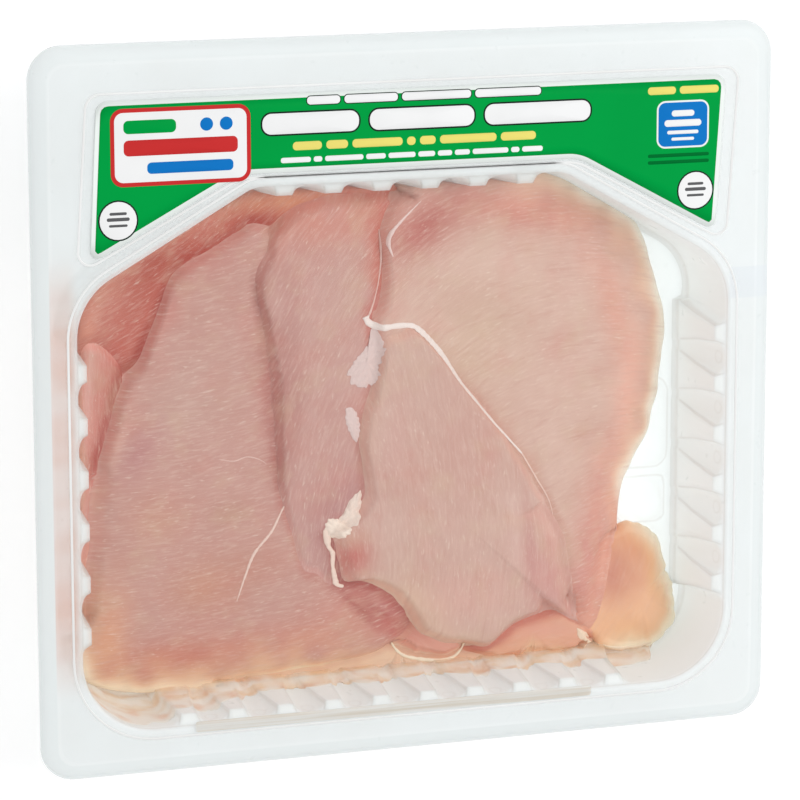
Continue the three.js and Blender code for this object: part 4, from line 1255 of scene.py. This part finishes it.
# tendons: path points x, y, full width along them, height, tone
tendons = {
    "tendonFrontTop": {
        "path": [(-12.2, 25.2), (-11.4, 23.4), (-9.5, 22.2), (-6.8, 21.6), (-2.0, 21.9), (2.8, 21.6),
                 (5.5, 20.1), (9.3, 16.4), (14.3, 10.4), (19.5, 2.4), (26.1, -5.7), (32.1, -12.8),
                 (37.4, -18.6), (42.6, -24.4)],
        "widths": [2.4, 2.3, 1.9, 1.7, 1.9, 1.9, 1.6, 1.3, 1.1, 1.0, 0.9, 0.8, 0.7, 0.6],
        "height": 0.6, "tone": (244, 230, 222)},
    "tendonFrontEnd": {
        "path": [(42.6, -24.4), (45.4, -29.0), (48.4, -34.0), (51.0, -38.0), (53.3, -42.5), (54.4, -46.5)],
        "widths": [0.6, 0.6, 0.6, 0.5, 0.4, 0.15], "height": 0.25, "tone": (236, 206, 192)},
    "tendonLeft": {
        "path": [(-39.4, -36.6), (-41.4, -40.6), (-43.9, -44.8), (-48.8, -50.2), (-50.9, -54.0),
                 (-52.4, -58.6), (-53.8, -63.4), (-55.1, -67.8)],
        "widths": [0.5, 0.8, 0.9, 0.9, 1.0, 0.8, 0.6, 0.2], "height": 0.35, "tone": (236, 206, 192)},
    "tendonHook": {
        "path": [(6.6, 62.2), (4.2, 60.3), (-0.2, 56.6), (-4.0, 52.7), (-5.2, 49.2), (-3.7, 44.8)],
        "widths": [0.2, 0.5, 0.9, 1.2, 1.3, 0.3], "height": 0.35, "tone": (234, 206, 198)},
    "tendonRight": {
        "path": [(-7.3, 53.4), (-7.0, 48.0), (-6.9, 42.2), (-7.9, 35.0), (-9.4, 29.4), (-11.4, 24.6)],
        "widths": [0.2, 0.45, 0.5, 0.4, 0.5, 0.9], "height": 0.2, "tone": (226, 188, 176)},
    "tendonLeftFine": {
        "path": [(-61.4, -19.2), (-56.3, -20.2), (-51.9, -19.2), (-48.0, -20.2), (-45.2, -22.0)],
        "widths": [0.15, 0.35, 0.4, 0.35, 0.15], "height": 0.15, "tone": (228, 194, 182)},
    "rimFlap": {
        "path": [(-25.6, -45.2), (-25.0, -48.0), (-24.4, -51.0), (-22.9, -53.6), (-22.7, -57.7),
                 (-21.9, -61.8), (-20.9, -64.6), (-18.6, -65.6)],
        "widths": [1.8, 2.6, 1.4, 1.7, 1.3, 1.6, 2.0, 0.8], "height": 0.7, "tone": (244, 220, 204)},
    "rimUnder": {
        "path": [(0.6, -88.2), (2.1, -90.4), (4.0, -92.6), (7.0, -94.3), (13.4, -95.9), (18.7, -96.6),
                 (23.3, -95.6), (26.0, -92.8), (26.4, -90.6)],
        "widths": [0.4, 0.9, 1.1, 1.3, 1.5, 1.5, 1.2, 0.9, 0.4], "height": 0.6, "tone": (250, 238, 214)},
    "tailFat": {
        "path": [(70.5, -93.6), (74.0, -96.0), (79.0, -97.8), (85.0, -98.6), (91.0, -98.4), (95.5, -97.2)],
        "widths": [1.0, 1.8, 2.2, 2.0, 1.6, 0.5], "height": 0.5, "tone": (246, 226, 200)},
}

# ragged bits of fat: outline, height, tone
fatBits = {
    "fatNotch": {
        "outline": [(-10.1, 21.6), (-11.4, 16.1), (-15.5, 11.4), (-18.2, 7.6), (-17.6, 4.3), (-13.2, 2.0),
                    (-9.4, 3.8), (-8.0, 8.3), (-6.7, 15.8)],
        "height": 0.5, "tone": (224, 200, 194), "seed": 31},
    "fatSide": {
        "outline": [(-18.6, -4.4), (-19.4, -8.0), (-18.0, -12.4), (-15.6, -16.0), (-14.4, -12.2),
                    (-15.2, -7.0)],
        "height": 0.45, "tone": (226, 202, 196), "seed": 32},
    "fatTuft": {
        "outline": [(-13.6, -33.2), (-17.2, -35.8), (-19.4, -39.8), (-21.4, -42.6), (-19.0, -44.4),
                    (-15.6, -43.6), (-13.8, -39.4)],
        "height": 1.1, "tone": (240, 220, 206), "seed": 33},
    "fatTip": {
        "outline": [(-24.2, -41.6), (-26.0, -44.6), (-24.6, -47.6), (-20.6, -47.8), (-17.4, -45.6),
                    (-20.2, -42.8)],
        "height": 1.0, "tone": (246, 228, 212), "seed": 34},
    "fatKnob": {
        "outline": [(66.2, -88.6), (69.4, -90.2), (71.4, -92.4), (69.6, -93.4), (67.0, -92.0)],
        "height": 0.4, "tone": (242, 216, 190), "seed": 35},
}

# how the pale tissue lies: how deep its back is sunk and how far a bit of fat stands up all
# over; points per path point and across a tendon; points round a bit of fat, and its rings
# from the middle out on top and back below
tissue = {
    "sink": 1.6,
    "lift": 0.1,
    "perPoint": 24,
    "across": 9,
    "around": 140,
    "topRings": (0.15, 0.35, 0.55, 0.7, 0.82, 0.91, 0.97, 1.0),
    "backRings": (0.99, 0.6, 0.2),
}


# a piece of pale tissue from its rows and two poles, its tone uneven by a small share
def makeTissue(name, plan, rows, poles, material, unevenness=0.0):
    points = np.vstack([rows.reshape(-1, 3), poles])
    piece = makePiece(name, points, rowFaces(*rows.shape[:2]), material)
    spots = 1 + unevenness * ripple(points[:, 0], points[:, 1], plan.get("seed", 0) + 2, 1.6)
    colour = np.clip(tone(*plan["tone"]) * spots[:, None], 0, 1)
    addTint(piece, colour, points[:, :2] * meatRules["uvScale"])


# a band along a path on the meat: across it the height is h * sqrt(1 - s^2), s from -1 to 1,
# and its flat back is sunk a little into the meat
def makeTendon(name, plan, surface, material):
    count = tissue["perPoint"] * len(plan["path"])
    path = openCurve(plan["path"], count)
    widths = np.interp(np.linspace(0, 1, count), np.linspace(0, 1, len(plan["widths"])), plan["widths"]) / 2
    widths = widths * (1 + 0.16 * ripple(path[:, 0], path[:, 1], len(name), 2.6))
    aside = leftOf(unit(np.gradient(path, axis=0)))
    s = np.sin(np.linspace(-np.pi / 2, np.pi / 2, tissue["across"]))
    flat = path[:, None, :] + aside[:, None, :] * (widths[:, None] * s)[..., None]
    ground = stack.read(surface, flat[..., 0], flat[..., 1])
    lift = plan["height"] * np.sqrt(1 - s ** 2) * np.clip(widths / widths.max(), 0.3, 1)[:, None]
    high = np.concatenate([flat, (ground + lift)[..., None]], axis=-1)
    low = np.concatenate([flat, (ground - tissue["sink"])[..., None]], axis=-1)[:, ::-1]
    rings = np.concatenate([high, low], axis=1)[:, ::-1]
    makeTissue(name, plan, rings, rings[[0, -1]].mean(axis=1), material)


# a lump on the meat: rings shrink to its middle, height h * (1 - rho^3), ragged at its rim
def makeFatBit(name, plan, surface, material):
    outline = closedCurve(plan["outline"], tissue["around"])
    centre = outline.mean(axis=0)
    ragged = 1 + 0.1 * ripple(outline[:, 0], outline[:, 1], plan["seed"], 2.2)

    def ringAt(rho):
        x, y = (centre + (outline - centre) * (ragged * rho)[:, None]).T
        return x, y, stack.read(surface, x, y)

    rows = []
    for rho in tissue["topRings"]:
        x, y, ground = ringAt(rho)
        lumps = 1 + 0.3 * ripple(x, y, plan["seed"] + 1, 2.8)
        rise = plan["height"] * lumps * (1 - rho ** 3) + tissue["lift"]
        rows.append(np.column_stack([x, y, ground + rise]))
    for rho in tissue["backRings"]:
        x, y, ground = ringAt(rho)
        rows.append(np.column_stack([x, y, ground - tissue["sink"]]))
    poles = [rows[0].mean(axis=0), rows[-1].mean(axis=0)]
    makeTissue(name, plan, np.stack(rows), poles, material, 0.05)


tissueMaterial = meatMaterial("paleTissue", 0.1, 0.15, 0.0)
meatTop = np.maximum(stack.z, softened(stack.z, meatRules["smoothReach"]))
for name, plan in tendons.items():
    makeTendon(name, plan, meatTop, tissueMaterial)
for name, plan in fatBits.items():
    makeFatBit(name, plan, meatTop, tissueMaterial)
print("tendons and fat made:", len(tendons) + len(fatBits))

# fat smeared up the tray's lower wall
smear = {
    # its ends in x, and the y that the lower wall stays below
    "ends": (-109.0, 98.0),
    "wallY": -85,
    # how high it reaches at each x
    "reach": [(-109, 24), (-98, 27), (-84, 28), (-72, 26), (-62, 20), (-50, 15), (-20, 13.5), (10, 13),
              (40, 13), (70, 12), (97, 10)],
    # ragged upper edge: size, seed and wavelength of its ripples
    "ragged": [(3.2, 71, 15), (1.4, 72, 5), (0.5, 73, 2)],
    "low": 1.2,
    "least": 6,
    # thickness on the wall and what its foot adds below these heights
    "thickness": 0.6,
    "foot": 1.8,
    "footHeights": (13, 8),
    "backGap": 0.08,
    "frontGap": 0.12,
    "tones": [(242, 208, 170), (248, 242, 232), (238, 190, 154)],
    "pale": (250, 244, 234),
    "alpha": 0.46,
    "glow": 0.12,
    "levels": 22,
}


# sheet on the wall: z = low + (reach + ragged - low) * share, thickness * (1 - share^3)
def makeSmear():
    columns = mouthColumns()
    walls = np.stack([wallRow(columns, depth)[0] for depth in tray["depths"][::-1]])
    heights = walls[:, 0, 2]
    halfWay = len(walls) // 2
    x, y = walls[halfWay, :, 0], walls[halfWay, :, 1]
    kept = np.flatnonzero((y < smear["wallY"]) & (x > smear["ends"][0]) & (x < smear["ends"][1]))
    kept = kept[np.argsort(x[kept])]
    walls, inward, x = walls[:, kept], columns[kept, 4:6], x[kept]
    top = np.interp(x, *np.array(smear["reach"], float).T)
    for size, seed, wavelength in smear["ragged"]:
        top = top + size * ripple(x, np.zeros(len(x)), seed, wavelength)
    ends = 0.1 + 0.9 * easedStep(0, 5, np.minimum(x - x.min(), x.max() - x))
    top = smear["low"] + (np.maximum(top, smear["least"]) - smear["low"]) * ends

    def onWall(z, out):
        upwards = heights[::-1]
        at = np.clip(np.searchsorted(upwards, z) - 1, 0, len(upwards) - 2)
        share = (z - upwards[at]) / (upwards[at + 1] - upwards[at])
        index = len(upwards) - 1 - at
        column = np.arange(len(x))
        low, high = walls[index, column, :2], walls[index - 1, column, :2]
        return np.column_stack([low + (high - low) * share[:, None] + inward * out[:, None], z])

    front, back = [], []
    for share in np.linspace(0, 1, smear["levels"]):
        z = smear["low"] + (top - smear["low"]) * share
        lumps = 1 + 0.5 * ripple(x, z, 74, 5)
        thick = smear["thickness"] * lumps * (1 - share ** 3)
        thick = thick + smear["foot"] * easedStep(*smear["footHeights"], z)
        front.append(onWall(z, smear["frontGap"] + thick * ends))
        back.append(onWall(z, np.full(len(x), smear["backGap"])))
    loops = np.stack(front + back[::-1]).transpose(1, 0, 2)
    points = np.vstack([loops.reshape(-1, 3), loops[[0, -1]].mean(axis=1)])
    piece = makePiece("fatSmear", points, rowFaces(*loops.shape[:2]), smearMaterial())
    mostly, pale, pink = (tone(*colour) for colour in smear["tones"])
    x, z = points[:, 0], points[:, 2]
    paler = np.maximum(easedStep(-0.35, 0.5, ripple(x, z * 1.6, 75, 13)), easedStep(12, 22, z))
    pinker = 0.7 * easedStep(0.1, 0.8, ripple(x, z, 76, 9))
    colour = mostly + (pale - mostly) * paler[:, None]
    addTint(piece, colour + (pink - colour) * pinker[:, None])


def smearMaterial():
    material, tree, shader = newMaterial("smearedFat")
    cloud = noiseOn(tree, objectPlace(tree), 170.0, wobble=0.6)
    tint = attributeOf(tree, "tint", "Color")
    colour = mixColours(tree, spread(tree, cloud, 0.45, 0.7, 0.0, 0.5), tint, tone(*smear["pale"]))
    join(tree, colour, shader.inputs["Base Color"])
    # painted glow: a faint emission in the smear's own colour stands in for light through the thin wall
    join(tree, colour, shader.inputs["Emission Color"])
    setInputs(shader, {"Roughness": 0.4, "Alpha": smear["alpha"], "Emission Strength": smear["glow"]})
    bumpFrom(tree, shader, cloud, 0.3, 0.4)
    return material


makeSmear()
print("fat smear made")

# seal ridges pressed into the flange under the film: how far out from the mouth's lip one runs,
# and the corners of the one round the label
ridges = {
    "mouthRun": 2.0,
    "halfWidth": 0.4,
    "height": 0.11,
    "sunk": 0.1,
    "labelRing": [(-111.0, 46.2, 4.0), (-57.6, 74.2, 14), (56.0, 74.2, 14), (108.7, 45.4, 4.0),
                  (112.6, 103.2, 5.0), (-107.2, 102.6, 5.0)],
}


# closed bead along a loop: across it a half ellipse over the flange, flat below
def makeRidge(name, loop, material):
    aside = leftOf(unit(np.roll(loop, -1, axis=0) - np.roll(loop, 1, axis=0)))
    turns = np.linspace(0, np.pi, 6)
    profile = [(np.cos(t), ridges["height"] * np.sin(t)) for t in turns]
    profile += [(-1, -ridges["sunk"]), (1, -ridges["sunk"])]
    rows = []
    for side, rise in profile:
        flat = loop + aside * ridges["halfWidth"] * side
        rows.append(np.column_stack([flat, np.full(len(loop), tray["flangeTop"] + rise)]))
    grid = np.stack(rows)
    index = np.arange(grid.shape[0] * grid.shape[1]).reshape(grid.shape[:2])
    ahead, below = np.roll(index, -1, axis=1), np.roll(index, -1, axis=0)
    quads = np.stack([index, below, np.roll(below, -1, axis=1), ahead], axis=-1).reshape(-1, 4)
    makePiece(name, grid.reshape(-1, 3), quads.tolist(), material)


def ridgeMaterial():
    material, tree, shader = newMaterial("sealRidge")
    cloud = noiseOn(tree, objectPlace(tree), 24.0, 2.0)
    colour = mixColours(tree, spread(tree, cloud, 0.35, 0.65), tone(236, 236, 234), tone(243, 244, 243))
    join(tree, colour, shader.inputs["Base Color"])
    setInputs(shader, {"Roughness": 0.45})
    bumpFrom(tree, shader, cloud, 0.1, 0.05)
    return material


sealMaterial = ridgeMaterial()
lipInset = tray["levels"][0][3]
mouthRing = insetCorners(tray["mouth"], lipInset - ridges["mouthRun"])
makeRidge("sealRidge1", roundedLoop(mouthRing, 16), sealMaterial)
makeRidge("labelRidge", roundedLoop(ridges["labelRing"], 12), sealMaterial)
print("seal ridges made")

filmLook = {"tint": tone(200, 204, 206), "pale": tone(214, 218, 220), "alpha": 0.02,
            "roughness": (0.12, 0.24)}


# clear stretched film: faint long waves in its gloss
def filmMaterial():
    material, tree, shader = newMaterial("clearFilm")
    wave = noiseOn(tree, objectPlace(tree), 22.0, 2.0, stretch=(1, 0.25, 1))
    join(tree, mixColours(tree, wave, filmLook["tint"], filmLook["pale"]), shader.inputs["Base Color"])
    join(tree, spread(tree, wave, 0.3, 0.7, *filmLook["roughness"]), shader.inputs["Roughness"])
    setInputs(shader, {"Alpha": filmLook["alpha"]})
    return material


# thin pale tape with fine lines along it
def stripMaterial():
    material, tree, shader = newMaterial("paleStrip")
    lengthwise = noiseOn(tree, objectPlace(tree), 900.0, 2.0, stretch=(0.02, 1.6, 1))
    colour = mixColours(tree, spread(tree, lengthwise, 0.4, 0.62), tone(228, 217, 200), tone(240, 238, 232))
    join(tree, colour, shader.inputs["Base Color"])
    setInputs(shader, {"Roughness": 0.35, "Alpha": 0.55})
    bumpFrom(tree, shader, lengthwise, 0.2, 0.1)
    return material


for name, material in {"lid_film": filmMaterial(), "wrap_strip": stripMaterial()}.items():
    nodes[name].data.materials.clear()
    nodes[name].data.materials.append(material)
print("film and strip dressed")

label = {
    "outline": [(-106.9, 49.4, 2.4), (-57.9, 75.5, 14), (56.3, 75.5, 14), (104.6, 49.1, 2.4),
                (107.9, 100.8, 4), (-104.1, 100.4, 4)],
    "border": 1.5,
    # heights of the printed layers over the film
    "low": 33.7,
    "paper": 33.84,
    "green": 33.90,
    "dark": 33.94,
    "face": 33.965,
    "light": 33.98,
    "stripe": 33.99,
    # grid of the sheets: steps of each round corner, how many corners lie below, points
    # along, rows across
    "cornerSteps": 12,
    "lowerCorners": 4,
    "samples": 160,
    "across": 9,
}


# flat sheet between two heights: a grid of quads from the outline's lower side to its upper
# side on top, the same below, and a strip of quads round the edge
def archSheet(name, corners, low, high, ink, stands=()):
    loop = roundedLoop(corners, label["cornerSteps"])
    split = label["lowerCorners"] * (label["cornerSteps"] + 1)
    share = np.linspace(0, 1, label["samples"])
    lower, upper = pointsAlong(loop[:split], share), pointsAlong(loop[split:], 1 - share)
    across = np.linspace(0, 1, label["across"])[:, None, None]
    flat = (lower + (upper - lower) * across).reshape(-1, 2)
    index = np.arange(len(flat)).reshape(len(across), -1)
    quads = np.stack([index[:-1, :-1], index[:-1, 1:], index[1:, 1:], index[1:, :-1]], axis=-1).reshape(-1, 4)
    ring = np.concatenate([index[0], index[1:, -1], index[-1, ::-1][1:], index[::-1, 0][1:-1]])
    ahead = np.roll(ring, -1)
    walls = np.stack([ring, ring + len(flat), ahead + len(flat), ahead], axis=-1)
    points = np.vstack([np.column_stack([flat, np.full(len(flat), z)]) for z in (high, low)])
    faces = quads.tolist() + (quads[:, ::-1] + len(flat)).tolist() + walls.tolist()
    makePiece(name, points, faces, inks[ink], stands)


# printed plastic: one ink colour, slight unevenness, fine press grain
def inkMaterial(name, colour):
    material, tree, shader = newMaterial(name)
    place = objectPlace(tree)
    cloud = spread(tree, noiseOn(tree, place, 30.0), 0.35, 0.7)
    join(tree, mixColours(tree, cloud, colour, colour * 0.94), shader.inputs["Base Color"])
    grain = noiseOn(tree, place, 900.0, 2.0)
    join(tree, spread(tree, grain, 0.3, 0.7, 0.36, 0.48), shader.inputs["Roughness"])
    setInputs(shader, {"Specular IOR Level": 0.02})
    bumpFrom(tree, shader, grain, 0.06, 0.05)
    return material


inkTones = {
    "paper": (244, 250, 246),
    "green": (0, 160, 68),
    "dark": (28, 44, 36),
    "white": (246, 246, 246),
    "yellow": (240, 226, 120),
    "red": (206, 52, 52),
    "blue": (20, 120, 200),
    "deepGreen": (0, 112, 48),
    "grey": (96, 96, 98),
}
inks = {ink: inkMaterial("label" + ink[0].upper() + ink[1:], tone(*inkTones[ink])) for ink in inkTones}

archSheet("labelPaper", label["outline"], label["low"], label["paper"], "paper", ["label"])
printed = insetCorners(label["outline"], label["border"])
archSheet("labelGreen", printed, label["paper"], label["green"], "green")

barRules = {"cornerSteps": 7, "least": 0.01, "bevel": 0.01, "bevelRun": 0.04}


# bars with round corners, a thin plate each with a small bevel: x, y, width, height, radius
def printBars(name, bars, low, high, ink):
    allPoints, allFaces, offset = [], [], 0
    for x, y, width, height, radius in bars:
        halfX, halfY = width / 2, height / 2
        radius = min(radius, halfX - barRules["least"], halfY - barRules["least"])
        loop = roundedLoop(boxCorners(x, y, halfX, halfY, radius), barRules["cornerSteps"])
        shrunk = (x, y) + (loop - (x, y)) * (1 - barRules["bevelRun"] / np.hypot(halfX, halfY))
        rows = [np.column_stack([flat, np.full(len(loop), z)])
                for flat, z in ((shrunk, high), (loop, high - barRules["bevel"]), (loop, low))]
        allPoints += [*rows, [[x, y, high], [x, y, low]]]
        allFaces += [[v + offset for v in face] for face in rowFaces(len(rows), len(loop))]
        offset += len(rows) * len(loop) + 2
    makePiece(name, np.vstack(allPoints), allFaces, inks[ink])


# rows of plain word-length bars: left end, right end, middle height, bar height, word shares
printRows = {
    "thin": (-35.6, 43.2, 98.0, 2.6, [4, 6.5, 8.5, 8.2]),
    "large": (-50.4, 60.3, 91.0, 6.6, [12, 13.2, 13.6]),
    "yellow": (-40.4, 41.5, 83.7, 2.7, [4, 3, 7, 1.2, 2.2, 8, 5]),
    "small": (-44.4, 43.9, 79.3, 1.7, [7, 2, 9, 4.6, 6.4, 4, 3.4, 3.6, 8.6, 2, 5]),
    "yellowRight": (80.3, 105.2, 96.2, 2.5, [4, 5.6]),
}


# a row's bars side by side, each as wide as its share of the row less the spaces between
def wordBars(rowName, grow=0.0):
    left, right, y, height, words = printRows[rowName]
    words = np.array(words, float)
    space = 0.55 * height
    widths = words / words.sum() * (right - left - space * (len(words) - 1))
    starts = left + np.concatenate([[0], np.cumsum(widths + space)[:-1]])
    radius = 0.45 * height + grow
    return [(start + width / 2, y, width + 2 * grow, height + 2 * grow, radius)
            for start, width in zip(starts, widths)]


# dark outlines stand out round the title's bars by these widths
outlines = {"thin": 0.3, "large": 0.55}
shadowBars = [bar for row, grow in outlines.items() for bar in wordBars(row, grow)]
titleBars = [bar for row in outlines for bar in wordBars(row)]
yellowBars = wordBars("yellow") + wordBars("yellowRight")
noteBars = [(91.3, y, 21.5, 1.1, 0.5) for y in (74.9, 72.7)]
green, dark, face = label["green"], label["dark"], label["face"]
printBars("printShadow", shadowBars, green, dark, "dark")
printBars("printTitle", titleBars, dark, label["light"], "white")
printBars("printSmall", wordBars("small"), green, dark, "white")
printBars("printYellow", yellowBars, green, dark, "yellow")
printBars("printNotes", noteBars, green, dark, "deepGreen")

# generic badges: a panel with plain stripes, two discs and a rounded tile
badges = {
    "panelRim": (-77.0, 85.6, 45.5, 24.6, 4.0),
    "panelFace": (-77.0, 85.6, 42.9, 22.0, 2.8),
    "panelGreen": (-87.0, 92.0, 17.0, 4.2, 1.6),
    "panelRed": (-77.0, 85.4, 37.0, 5.0, 1.6),
    "panelBlue": (-74.0, 78.9, 28.0, 3.6, 1.4),
    "panelSky": [(-68.6, 92.0, 4.2, 4.2, 2.1), (-62.2, 92.0, 4.2, 4.2, 2.1)],
    "discs": [(-97.6, 62.8), (97.4, 63.0)],
    "discRim": 13.0,
    "discFace": 12.0,
    # bars on a disc and on the tile: how far up from its middle, width, height
    "discBars": [(2.2, 5.6, 0.9), (0.4, 7.4, 1.1), (-1.6, 6.0, 0.8)],
    "tileRim": (92.7, 85.0, 18.4, 15.6, 3.0),
    "tileFace": (92.7, 85.0, 17.2, 14.4, 2.4),
    "tileBars": [(3.6, 8.0, 2.0), (0.4, 13.0, 2.2), (-2.6, 11.0, 1.2), (-4.8, 8.0, 1.0)],
}


def discPair(size):
    return [(x, y, size, size, size / 2) for x, y in badges["discs"]]


def shortBars(x, y, rows):
    return [(x, y + up, width, height, height / 2) for up, width, height in rows]


tileBars = shortBars(*badges["tileFace"][:2], badges["tileBars"])
greyBars = [bar for place in badges["discs"] for bar in shortBars(*place, badges["discBars"])]
printBars("badgeRimRed", [badges["panelRim"]], green, dark, "red")
printBars("badgeRimDark", discPair(badges["discRim"]), green, dark, "dark")
printBars("badgeRimWhite", [badges["tileRim"]], green, dark, "white")
printBars("badgeFaces", [badges["panelFace"]] + discPair(badges["discFace"]), dark, face, "white")
printBars("badgeTile", [badges["tileFace"]], dark, face, "blue")
printBars("badgeStripeGreen", [badges["panelGreen"]], face, label["stripe"], "green")
printBars("badgeStripeRed", [badges["panelRed"]], face, label["stripe"], "red")
printBars("badgeStripeBlue", [badges["panelBlue"]] + badges["panelSky"], face, label["stripe"], "blue")
printBars("badgeTileBars", tileBars, face, label["stripe"], "white")
printBars("badgeDiscBars", greyBars, face, label["stripe"], "grey")
print("label made")
